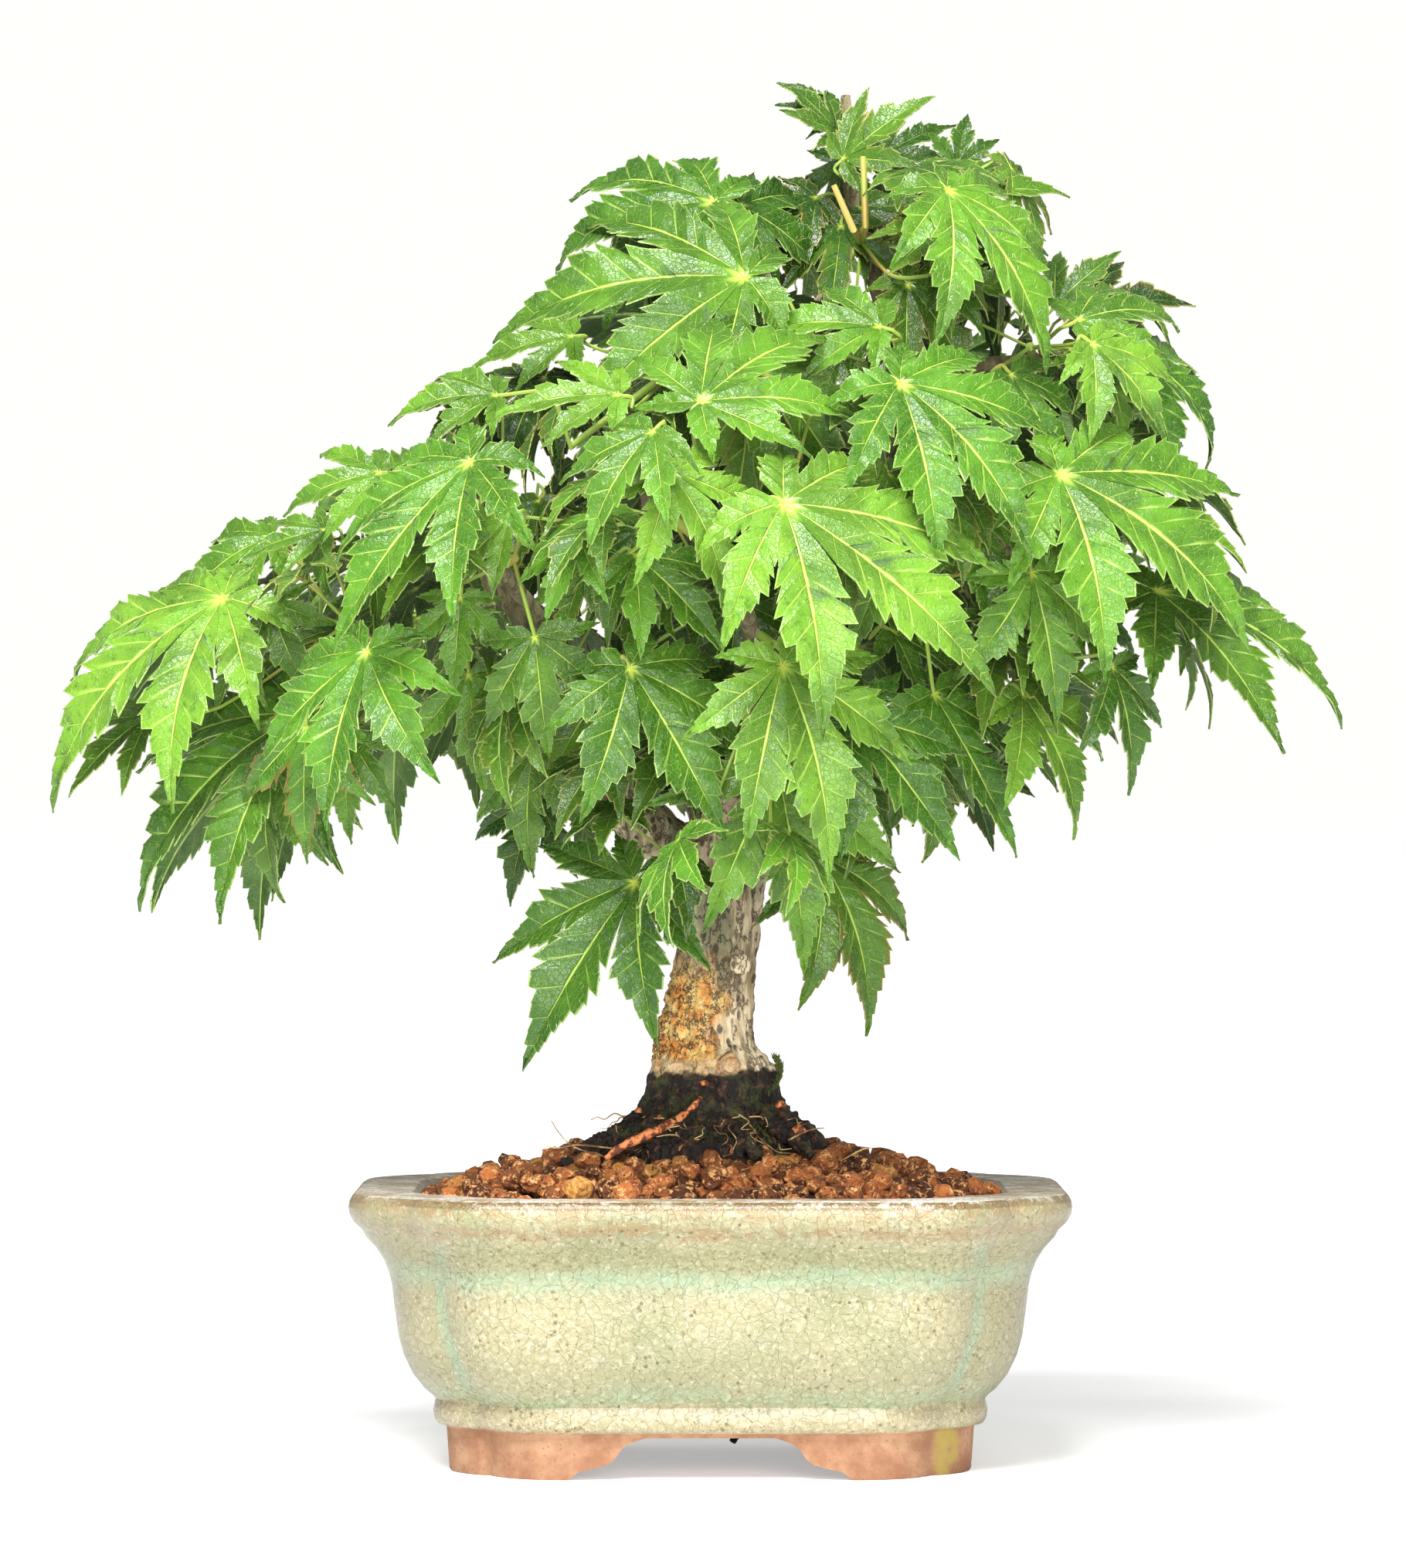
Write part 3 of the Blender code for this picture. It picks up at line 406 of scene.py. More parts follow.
# Specks of iron, ragged at their edges, large and small
speck = step(plus(cells(560.0), times(peel, 0.5)), 0.54, 0.42)
speck = times(speck, step(grain(150), 0.5, 0.6))
pepper = step(plus(cells(1050.0), times(peel, 0.5)), 0.58, 0.44)
pepper = times(pepper, step(grain(90, 5, 0.7), 0.42, 0.6))
drift = node("ShaderNodeTexNoise", {"Vector": where, "Scale": 160.0, "Detail": 3.0}).outputs["Color"]
adrift = node("ShaderNodeMix", {"Factor": 0.0035, 4: where, 5: drift}, data_type="VECTOR").outputs[1]
crack = step(cells(380.0, adrift, "DISTANCE_TO_EDGE"), 0.028, 0.0)
low_groove = times(groove, step(height, 0.0160, 0.0200))
colour = layered(
    (0.29, 0.29, 0.155), (step(cloud, 0.38, 0.64), (0.44, 0.385, 0.225)),
    (step(fine, 0.42, 0.66, 0, 0.6), (0.42, 0.39, 0.265)),
    # Below 36 mm the glaze is painted darker towards the foot: painted shade under the pot's curve.
    (step(height, 0.036, 0.019, 0, 0.5), (0.285, 0.285, 0.165)),
    # The rim top is painted near white: partly its pale, thin glaze, partly painted light that the dim room
    # doesn't give it.
    (pool, (0.29, 0.40, 0.245)), (step(height, 0.0560, 0.0572), (1.0, 0.97, 0.90)),
    (times(bead, 0.75), (0.47, 0.385, 0.245)), (rusty, (0.33, 0.16, 0.05)),
    (times(line, step(fine, 0.40, 0.52, 0.35, 1.0)), (0.15, 0.07, 0.022)),
    (times(olive, 0.5), (0.25, 0.26, 0.12)),
    (times(olive, step(cells(780.0), 0.42, 0.22, 0, 0.6)), (0.15, 0.17, 0.05)),
    (times(speck, 0.9), (0.13, 0.08, 0.025)), (times(pepper, 0.8), (0.20, 0.14, 0.05)),
    (step(peel, 0.36, 0.60, 0.55, 0), (0.25, 0.25, 0.12)),
    (step(peel, 0.56, 0.70, 0, 0.45), (0.66, 0.63, 0.47)),
    # Both ends are painted darker from 46 mm out: painted shade where they turn away from the light.
    (step(across, 0.046, 0.066, 0, 0.4), (0.31, 0.255, 0.15)),
    (times(highest(cove, low_groove), 0.22), (0.30, 0.46, 0.32)), (times(crack, 0.3), (0.28, 0.28, 0.15)))
finish_off(colour, plus(plus(fine, peel), times(crack, -0.4)), 0.0005, 0.7)

# On top of the rim the glaze has run thin and dried matt. This copy keeps the glaze's colour,
# so the rim top is painted near white here, partly its pale glaze and partly painted light.
thin_glaze = glaze.copy()
thin_glaze.name = "thin_glaze"
for socket, value in (("Coat Weight", 0.0), ("Specular IOR Level", 0.08)):
    thin_glaze.node_tree.nodes["Principled BSDF"].inputs[socket].default_value = value

bare_clay = new_finish("bare_clay", 0.85)
rub = grain(120, 5, 0.7)
place = axes()
stain = times(times(band(place[0], 0.0445, 0.0465, 0.0495, 0.0515), step(place[1], 0.0, -0.02)),
              step(rub, 0.42, 0.55))
finish_off(layered((0.29, 0.135, 0.070), (step(rub, 0.35, 0.7), (0.45, 0.255, 0.145)),
                   (step(cells(700.0), 0.25, 0.1, 0, 0.6), (0.22, 0.12, 0.07)),
                   (times(stain, 0.8), (0.34, 0.27, 0.05))), rub, 0.0006, 0.6)

rings = [[(x, y, z) for x, y in pot_outline(half, ARC_ROWS, FRONT_ROWS, SIDE_ROWS)]
         for z, half in POT_OUTSIDE + POT_INSIDE]
pot = mesh_piece("pot_body", *loft(rings), glaze, bare_clay, thin_glaze)
recess = [[(x * 0.86, y * 0.84, z) for x, y in pot_outline(54.0, 8)] for z in (-1.0, 8.8)]
cut(pot, mesh_piece("recess", *loft(recess)))
for share, turned in ((1.0, False), (0.5, True)):
    outline = [(x * share, z) for x, z in ARCH] + [(-x * share, z) for x, z in reversed(ARCH)]
    ends = [[(at, x, z) if turned else (x, at, z) for x, z in outline] for at in (-80, 80)]
    cut(pot, mesh_piece("arch", *loft(ends)))
bpy.ops.mesh.primitive_cylinder_add(vertices=40, radius=7.5 * MM, depth=11 * MM, location=(0, 0, 10.5 * MM))
cut(pot, bpy.context.object)
for face in pot.data.polygons:
    on_rim = face.center.z > RIM_TOP * MM and face.normal.z > 0.7
    face.material_index = 1 if face.center.z < GLAZE_FROM * MM else 2 if on_rim else 0
smooth(pot, 40)
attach(pot, "root")
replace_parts(pot, "pot")

# Drain screen and wire: black moulded plastic mesh, and brown anodised wire whose leg shows
# under the pot. Both keep their CAD shape and get their finish.
screen = new_finish("black_plastic", 0.5)
finish_off(layered((0.015, 0.015, 0.016), (grain(300), (0.035, 0.034, 0.032))), grain(900), 0.0002, 0.3)
wire = new_finish("brown_wire", 0.45, {"Metallic": 0.6})
finish_off(layered((0.035, 0.02, 0.012), (grain(500), (0.10, 0.06, 0.035))))
for name, finish in (("drain_screen", screen), ("drain_wire", wire)):
    frame["nodes"][name].data.materials.clear()
    frame["nodes"][name].data.materials.append(finish)

# Soil: fired clay grains of 4 to 7 mm, mounded towards the trunk, over a near-black bed that shows in the
# gaps between them as painted shade. The bed fills the pot, and the grains are lumpy pebbles copied onto it
# by rule.
SOIL_EDGE, SOIL_RISE = 55.6, 9.6
BED_SINK = 2.2  # how far the bed lies under the tops of the grains
PEBBLE_KINDS = 14
# Layers of grains: how far apart, smallest and largest radius, how deep they sink, their odds
GRAIN_LAYERS = [(5.1, 2.2, 3.1, 1.0, 1.0), (4.6, 0.9, 1.6, 0.6, 0.7), (6.6, 1.9, 2.9, -1.6, 0.55)]
PALE_GRAIN = (-26.6, -38.0, 58.6, 3.3)  # a light one that leans on the rim at the front


def soil_height(x, y):
    away = min(1.0, ((abs(x) / 59.0) ** 2.6 + (abs(y) / 43.0) ** 2.6) ** (1 / 2.6))
    return SOIL_EDGE + SOIL_RISE * (1 - away * away) ** 1.2


def inside(point, loop):
    hit = False
    x, y = point
    for (x0, y0), (x1, y1) in zip(loop, loop[1:] + loop[:1]):
        if (y0 > y) != (y1 > y) and x < (x1 - x0) * (y - y0) / (y1 - y0) + x0:
            hit = not hit
    return hit


# The bed is painted near black: painted shade in the gaps between the grains.
gap_shade_earth = new_finish("earth_painted_gap_shade", 1.0)
crumb = grain(420, 6, 0.75)
finish_off(layered((0.018, 0.008, 0.004), (step(crumb, 0.35, 0.7), (0.10, 0.04, 0.018))), crumb, 0.002)
rings = [[(x, y, z) for x, y in pot_outline(half, 8, 6, 3)] for z, half in ((13.3, 46.3), (28.0, 55.4))]
for share in (1.0, 0.93, 0.84, 0.72, 0.6, 0.48, 0.36, 0.24, 0.12):
    rings.append([(x * share, y * share, soil_height(x * share, y * share) - BED_SINK)
                  for x, y in pot_outline(58.0, 8, 6, 3)])
bed = mesh_piece("soil_bed", *loft(rings), gap_shade_earth)
bed.data.shade_smooth()
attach(bed, "root")
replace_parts(bed, "soil")

# Each grain's own colour comes from its attribute: red how light it is, green how tan.
clay = new_finish("fired_clay_grain", 0.55)
own = node("ShaderNodeAttribute", attribute_name="grain").outputs["Color"]
own = node("ShaderNodeSeparateColor", {"Color": own}).outputs
rub = grain(650, 5, 0.7)
# Pits are pressed in by the bump and painted near black: painted shade in them.
shaded_pit = times(step(cells(900.0), 0.3, 0.12), step(grain(330), 0.48, 0.6))
rough_top = plus(plus(rub, times(cells(620.0), -0.7)), times(shaded_pit, -0.8))
finish_off(layered((0.075, 0.020, 0.006), (own[0], (0.66, 0.205, 0.052)), (own[1], (0.80, 0.36, 0.07)),
                   (step(rub, 0.52, 0.60), (1.0, 0.50, 0.18)), (times(shaded_pit, 0.7), (0.035, 0.014, 0.008))),
           rough_top, 0.0022)

pebbles = []
for kind in range(PEBBLE_KINDS):
    shape = random.Random(f"pebble {kind}")
    stretch = (shape.uniform(0.92, 1.15), shape.uniform(0.85, 1.05), shape.uniform(0.75, 0.95))
    points, sides = ball(1.0, 2)
    for point in points:
        point *= Vector(stretch)
        lump = noise.noise(point * 1.3 + Vector((kind * 7, 0, 0)))
        lump += 0.7 * noise.noise(point * 3.4 + Vector((0, kind * 5, 0)))
        point *= 1 + 0.42 * lump
    pebbles.append((points, sides))

scatter = random.Random(17)
rim = pot_outline(58.3, 8)
spots = []
for pitch, low, high, sink, odds in GRAIN_LAYERS:
    y, row = -46.0, 0
    while y < 46:
        x = -60.0 + (row % 2) * pitch / 2
        while x < 60:
            spot = (x + scatter.uniform(-0.28, 0.28) * pitch, y + scatter.uniform(-0.28, 0.28) * pitch)
            size = scatter.uniform(low, high)
            from_trunk = math.hypot(spot[0] + 3.6, spot[1] / 0.88)
            free = min(math.hypot(spot[0] - a, spot[1] - b) for a, b in rim) > size * 0.9
            if scatter.random() < odds and inside(spot, rim) and free and from_trunk > 17 + size:
                spots.append((*spot, soil_height(*spot) - sink + scatter.uniform(-0.5, 0.5), size))
            x += pitch
        y += pitch * 0.866
        row += 1
lying, tones = [], []
for spot in spots + [PALE_GRAIN]:
    points, sides = pebbles[scatter.randrange(PEBBLE_KINDS)]
    turn = Matrix.Rotation(scatter.uniform(0, 6.28), 3, "Z")
    turn = turn @ Matrix.Rotation(scatter.uniform(-0.6, 0.6), 3, "X")
    lying.append(([Vector(spot[:3]) + turn @ point * spot[3] for point in points], sides))
    tan = scatter.uniform(0.3, 0.8) if scatter.random() < 0.05 else 0.0
    tone = (scatter.random() ** 1.3, tan, 0, 1)
    tones += [(1, 1, 0, 1) if spot is PALE_GRAIN else tone] * len(points)
grains = mesh_piece("soil_grains", *merged(lying), clay)
grains.data.attributes.new("grain", "FLOAT_COLOR", "POINT").data.foreach_set("color", np.ravel(tones))
smooth(grains, 38)
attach(grains, "root")
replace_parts(grains, "soil")

# Trunk: one piece of wood, with a flared root base, two leaders, branches and twigs. Callus
# wood lies bare on its left, and its foot is wet and nearly black. Stem, limbs and scars are
# lofted, melted into one skin with a voxel remesh, and the bark is raised from it.
TRUNK_RINGS = [
    (50.0, -2.0, 14.0, 0.05), (61.0, -3.6, 21.8, 0.12), (66.0, -3.8, 22.4, 0.14),
    (68.6, -2.4, 19.0, 0.16), (71.6, -0.9, 16.2, 0.13), (75.8, -0.3, 14.0, 0.09),
    (80.0, 0.1, 13.2, 0.06), (84.0, -0.3, 11.6, 0.05), (88.0, -1.4, 10.1, 0.04),
    (98.0, 0.2, 8.7, 0.03), (116.0, 2.3, 8.4, 0.03), (128.0, 3.1, 9.9, 0.05),
    (135.0, 5.2, 8.2, 0.04), (139.0, 7.4, 5.6, 0.03),
]
BRANCHES = {
    "right_leader": [(4, 0, 124, 7.5), (8, 2, 140, 6.4), (18.5, 0, 175, 5), (31.5, -4, 205, 4),
                     (39.7, -2, 226, 3.1), (30, 2, 260, 1.9), (28, 0, 283.5, 1.1)],
    "left_leader": [(1, 0, 124, 5.5), (-8, -1, 128, 5.6), (-15.5, -2, 134, 5.3), (-19, -3, 142, 4.8),
                    (-22, -4, 150, 4.5), (-28.5, -4, 159, 4.2), (-37.5, -2, 175.5, 3.5),
                    (-55, 2, 188, 2.5), (-76, -2, 187, 1.8)],
    "centre_leader": [(3, 1, 128, 5), (-5, 4, 148, 4), (-8, 5, 175, 3.4), (-12, 4, 200, 2.6),
                      (-8, 0, 225, 2), (-1, -4, 248, 1.3)],
    "right_low": [(19, 0, 176, 3), (44, -4, 186, 2.5), (66, -8, 190, 1.9), (80, -8, 185, 1.3)],
    "right_high": [(37, -3, 219, 2.5), (54, -8, 226, 2), (68, -10, 228, 1.3)],
    "front_low": [(11, 1, 150, 3), (10, -24, 160, 2.5), (8, -46, 172, 1.9), (4, -60, 184, 1.3)],
    "front_left": [(-28, -4, 158, 2.8), (-34, -24, 172, 2.3), (-42, -44, 184, 1.4)],
    "front_right": [(17.5, 0, 171, 2.8), (30, -24, 180, 2.3), (44, -42, 192, 1.4)],
    "front_high": [(33, -3.5, 209, 2.5), (24, -22, 219, 2), (14, -36, 226, 1.3)],
    "back_low": [(8.5, 2, 142, 3), (10, 26, 158, 2.5), (8, 48, 172, 1.9), (4, 62, 186, 1.3)],
    "back_left": [(-22.5, -4, 151, 2.8), (-36, 22, 170, 2.3), (-44, 44, 184, 1.4)],
    "back_right": [(19.5, 0, 177, 2.8), (34, 26, 184, 2.3), (50, 44, 196, 1.4)],
    "back_high": [(35.5, -3, 214, 2.5), (26, 20, 222, 2), (14, 36, 230, 1.3)],
    "low_right": [(9, 1.5, 143, 2.6), (28, -8, 150, 2), (46, -14, 160, 1.3)],
    "low_left": [(-23, -4, 151.5, 2.4), (-44, -8, 160, 2), (-62, -10, 166, 1.3)],
}
# Burl, ring knot, callus under the left leader, lip of the knot hole: x, y, z and radius
SCARS = [(12.2, -2.0, 80.5, 2.6), (4.2, -11.2, 83.2, 2.4), (-12.5, -2.4, 131.0, 6.2), (6.2, -7.4, 103.5, 2.0)]
RING_KNOT, KNOT_HOLE = (4.2, -12.5, 83.0), Vector((6.2, -9.2, 103.5))
ROOTS = [
    [(-1.5, -12.5, 76, 1.0), (-6, -15.3, 72.0, 1.5), (-12, -18.6, 69.0, 1.7), (-19.5, -19.8, 65.0, 1.3)],
    [(-9, -8, 72, 2.2), (-16, -12, 68.6, 2.0), (-24, -13, 65.4, 1.3), (-30, -12, 62, 0.8)],
    [(-12, -2, 72, 2.4), (-19, -4, 68.4, 2.0), (-27, -7, 64.5, 1.1)],
    [(4, -12, 71, 2.0), (7, -17, 67.5, 1.6), (11, -21, 63.5, 1.0)],
    [(-3, -13, 71, 2.0), (-4, -18.5, 67, 1.6), (-8, -23, 62.8, 1.0)],
    [(10, -8, 72, 2.4), (16, -11, 68.5, 1.9), (21, -15, 64, 1.1)],
    [(12, -2, 73, 2.6), (18, -3, 69.5, 2.2), (24, -4, 65, 1.3)],
    [(11, 6, 72, 2.3), (17, 9, 68, 1.8), (22, 13, 63.5, 1.1)],
    [(-10, 7, 72, 2.3), (-16, 10, 68, 1.8), (-22, 13, 63.5, 1.1)],
    [(0, 12, 72, 2.2), (1, 17, 67.5, 1.6), (3, 21, 63, 1.0)],
]


def trunk_ring(height, middle, half, ridge, sides=18):
    ring = []
    for i in range(sides):
        angle = math.tau * i / sides
        star = math.cos(5 * angle + 0.9) + 0.6 * math.cos(8 * angle + 2.2) + 0.4 * math.cos(3 * angle)
        radius = half * (1 + ridge * star * 0.7)
        ring.append((middle + radius * math.cos(angle), radius * math.sin(angle) * 0.88, height))
    return ring


def lumps(p, across, up):
    """Noise at a point, finer the more it is scaled, from about -1 to 1."""
    return noise.noise(Vector((p.x * across, p.y * across, p.z * up)))


wood = [loft([trunk_ring(*ring, sides=48) for ring in smooth_path(TRUNK_RINGS, 3)])]
wood += [tube(limb_path(points), 12) for points in BRANCHES.values()]
wood += [tube(limb_path(points, 4), 8) for points in ROOTS]
for x, y, z, size in SCARS:
    points, sides = ball(size, 3)
    wood.append(([point + Vector((x, y, z)) for point in points], sides))
trunk = mesh_piece("trunk_wood", *merged(wood))
select_only(trunk)
trunk.data.remesh_voxel_size = 0.62 * MM
bpy.ops.object.voxel_remesh()
modify(trunk, "SMOOTH", iterations=4, factor=0.5)
normals = [v.normal.copy() for v in trunk.data.vertices]
for vert, out in zip(trunk.data.vertices, normals):
    p = vert.co / MM
    # Long ridges and plates, deeper on the stump than on the limbs
    raised = lumps(p, 0.55, 0.09) * 0.55 + lumps(p, 0.35, 0.35) * 0.5 + lumps(p, 0.9, 0.9) * 0.28
    raised *= 0.35 + 0.65 * clamped((146 - p.z) / 20)
    callus = clamped((105 - p.z) / 6) * clamped((p.z - 81) / 3) * clamped((3 - p.x) / 5)
    raised += callus * (lumps(p, 1.1, 0.8) + 0.25)
    raised += clamped((79 - p.z) / 6) * (lumps(p, 0.7, 0.7) * 0.9 + lumps(p, 1.2, 0.3) * 0.6)
    knot = (p - KNOT_HOLE).length
    raised -= 1.6 * max(0.0, 1 - knot / 1.5) - 0.5 * max(0.0, 1 - abs(knot - 2.2) / 0.9)
    if p.y < -6:
        ring = (Vector((p.x, p.z)) - Vector((RING_KNOT[0], RING_KNOT[2]))).length
        raised -= 1.2 * max(0.0, 1 - ring / 1.1) - 0.5 * math.cos(ring * 4.0) * max(0.0, 1 - ring / 3.0)
    vert.co += out * raised * MM * (1.0 if p.z < 150 else 0.4)

bark = new_finish("maple_bark", 0.8)
place = axes()
wander = reckon("SUBTRACT", grain(240, 4), 0.5)
level = plus(place[2], times(wander, 0.006))
streak, rough = grain(330, 4, 0.6, (1, 1, 0.14)), grain(520, 6, 0.75)
holes = times(step(cells(480.0, stretched((1, 1, 0.55))), 0.36, 0.2), step(grain(160), 0.46, 0.54))
rifts = step(from_middle(grain(170, 5, 0.65, (1, 1, 0.5))), 0.024, 0.006, 0, 0.85)
holes = highest(holes, rifts)
# The callus: bare orange wood with pale flakes and dark cracks, low on the trunk's left
callus = times(step(plus(place[0], times(wander, 0.016)), 0.0035, -0.0005),
               times(step(level, 0.108, 0.099), step(place[1], 0.004, -0.002)))
flakes = layered((0.80, 0.31, 0.05), (step(grain(300, 5, 0.8, (1, 1, 0.7)), 0.42, 0.60), (1.0, 0.74, 0.26)),
                 (step(from_middle(grain(230, 6, 0.75, (1, 1, 0.8))), 0.040, 0.010), (0.10, 0.035, 0.01)))
ring_gap = node("ShaderNodeVectorMath", {0: where, 1: Vector(RING_KNOT) * MM}, operation="DISTANCE")
ring_gap = ring_gap.outputs["Value"]
ringed = step(reckon("SINE", times(ring_gap, 3600.0)), -0.4, 0.5)
# A pale line runs round the trunk above its wet foot, where moss grows on the right and low down.
pale = times(times(step(level, 0.0845, 0.083), step(place[0], 0.0085, 0.006)),
             step(rough, 0.4, 0.5, 0.2, 0.9))
wet = step(level, 0.0818, 0.0806)
mossy = times(step(grain(210, 5, 0.7), 0.5, 0.6), step(level, 0.088, 0.080))
mossy = times(mossy, highest(step(place[0], 0.004, 0.010), step(level, 0.066, 0.070)))
finish_off(layered(
    (0.31, 0.23, 0.12), (step(streak, 0.38, 0.60), (1.0, 0.82, 0.54)),
    (step(grain(90, 3, 0.5, (1, 1, 0.5)), 0.5, 0.68, 0, 0.7), (0.29, 0.31, 0.18)),
    (step(rough, 0.56, 0.72, 0, 0.6), (0.86, 0.78, 0.62)), (times(holes, 0.85), (0.05, 0.03, 0.018)),
    # Young wood above the fork is greener.
    (step(level, 0.138, 0.165, 0, 0.75), layered((0.10, 0.085, 0.03), (streak, (0.30, 0.27, 0.12)))),
    (times(callus, 0.95), flakes),
    (step(ring_gap, 0.0042, 0.0034), layered((0.42, 0.17, 0.04), (ringed, (0.86, 0.60, 0.28)))),
    (pale, (0.86, 0.62, 0.36)),
    (wet, layered((0.010, 0.006, 0.004), (step(rough, 0.5, 0.66), (0.14, 0.06, 0.03)))),
    (times(mossy, 0.5), (0.065, 0.085, 0.018))), plus(rough, times(holes, -0.6)), 0.0011, 0.8)
put(shader.inputs["Roughness"], step(wet, 0, 1, 0.82, 0.5))
trunk.data.materials.clear()
trunk.data.materials.append(bark)
trunk.data.shade_smooth()

# Surface root and rootlets: a live, orange root on the flare, and pale hair roots around it.
root_skin = new_finish("live_root", 0.6)
rub = grain(700, 4)
finish_off(layered((0.13, 0.03, 0.01), (step(rub, 0.44, 0.56), (0.78, 0.26, 0.08))), rub, 0.0006, 0.7)
lively = [tube(limb_path([(-1.8, -14.0, 76.2, 0.45), (-6.2, -16.8, 72.2, 0.75), (-12.2, -20.2, 69.3, 1.05),
                          (-18.6, -21.6, 66.2, 0.85), (-21.5, -22.4, 64.2, 0.5)], 6), 10)]
for x, y, z, size in ((-1.0, -14.9, 79.3, 0.8), (14.6, -11.0, 74.6, 1.1), (18.2, -12.6, 69.6, 1.5),
                      (-14.6, -13.8, 73.6, 0.8), (-10.4, -14.2, 72.3, 0.6)):
    lively.append(([Vector((x, y, z)) + point * size for point in pebbles[1][0]], pebbles[1][1]))
live_root = mesh_piece("surface_root", *merged(lively), root_skin)
for vert in live_root.data.vertices:
    vert.co += vert.normal * noise.noise(vert.co * 900) * 0.35 * MM
live_root.data.shade_smooth()
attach(live_root, "root")

hair_skin = new_finish("pale_rootlet", 0.7)
finish_off(layered((0.16, 0.07, 0.025), (step(grain(260), 0.4, 0.6), (0.66, 0.46, 0.20))))
draw = random.Random(5)
hairs = []
for i in range(46):
    turn = draw.uniform(math.pi * 1.02, math.pi * 1.98) if i < 34 else draw.uniform(0, math.pi)
    reach, z = draw.uniform(13.5, 17.5), draw.uniform(68.5, 73)
    hair = []
    for k in range(7):
        hair.append((reach * math.cos(turn) - 1.5, reach * math.sin(turn) * 0.93, z, 0.22 - 0.02 * k))
        reach += draw.uniform(0.6, 1.9)
        turn += draw.uniform(-0.09, 0.09)
        ground = soil_height(reach * math.cos(turn), reach * math.sin(turn))
        z = max(z + draw.uniform(-1.5, 0.5), ground + 1.2)
    hairs.append(tube(limb_path(hair, 3), 4))
for hair in ([(-22, -18, 64.5, 0.2), (-28, -20, 66.5, 0.2), (-31, -20, 69.5, 0.16), (-32.5, -19, 71.8, 0.1)],
             [(-20, -17, 66, 0.25), (-27, -19, 66.8, 0.25), (-31, -19, 66.2, 0.2), (-33.5, -19, 66.6, 0.12)],
             [(16, -14, 67.5, 0.25), (20, -16, 69.6, 0.22), (23.4, -17, 70.2, 0.12)],
             [(27, -16, 63.5, 0.22), (31, -18, 65.8, 0.2), (33.2, -18, 66.2, 0.12)]):
    hairs.append(tube(limb_path(hair, 4), 4))
rootlets = mesh_piece("rootlets", *merged(hairs), hair_skin)
rootlets.data.shade_smooth()
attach(rootlets, "root")

# Moss: tufts of short blades among the roots at the foot of the trunk and on the burl.
moss = new_finish("moss", 0.9)
finish_off(layered((0.035, 0.055, 0.008), (grain(500), (0.16, 0.22, 0.04))))
TUFTS, ROOT_TUFTS = 640, 300
tufts = []
for i in range(TUFTS):
    if i < ROOT_TUFTS:
        angle = draw.uniform(math.pi * 1.1, math.pi * 2.05)
        reach = draw.gauss(18.5, 2.2)
        x, y = reach * math.cos(angle) - 1.5, reach * math.sin(angle) * 0.93
        z = max(soil_height(x, y), 70.5 - (reach - 15) * 1.3)
    else:
        _, y, z = draw.gauss(13.6, 1.0), draw.uniform(-6, 3), draw.uniform(76, 84)
        x = 11.5 + 2.8 * math.sin(clamped((86 - z) / 10) * math.pi) + draw.uniform(-0.4, 0.6)
    lean = Vector((draw.uniform(-0.7, 0.7), draw.uniform(-0.7, 0.7), 1)).normalized() * draw.uniform(0.8, 1.9)
    foot = Vector((x, y, z))
    side = lean.orthogonal().normalized() * 0.16
    other = lean.cross(side).normalized() * 0.16
    tufts.append(([foot + side, foot - side * 0.5 + other, foot - side * 0.5 - other, foot + lean],
                  [(0, 2, 1), (0, 1, 3), (1, 2, 3), (2, 0, 3)]))
moss_tufts = mesh_piece("moss_tufts", *merged(tufts), moss)
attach(moss_tufts, "root")

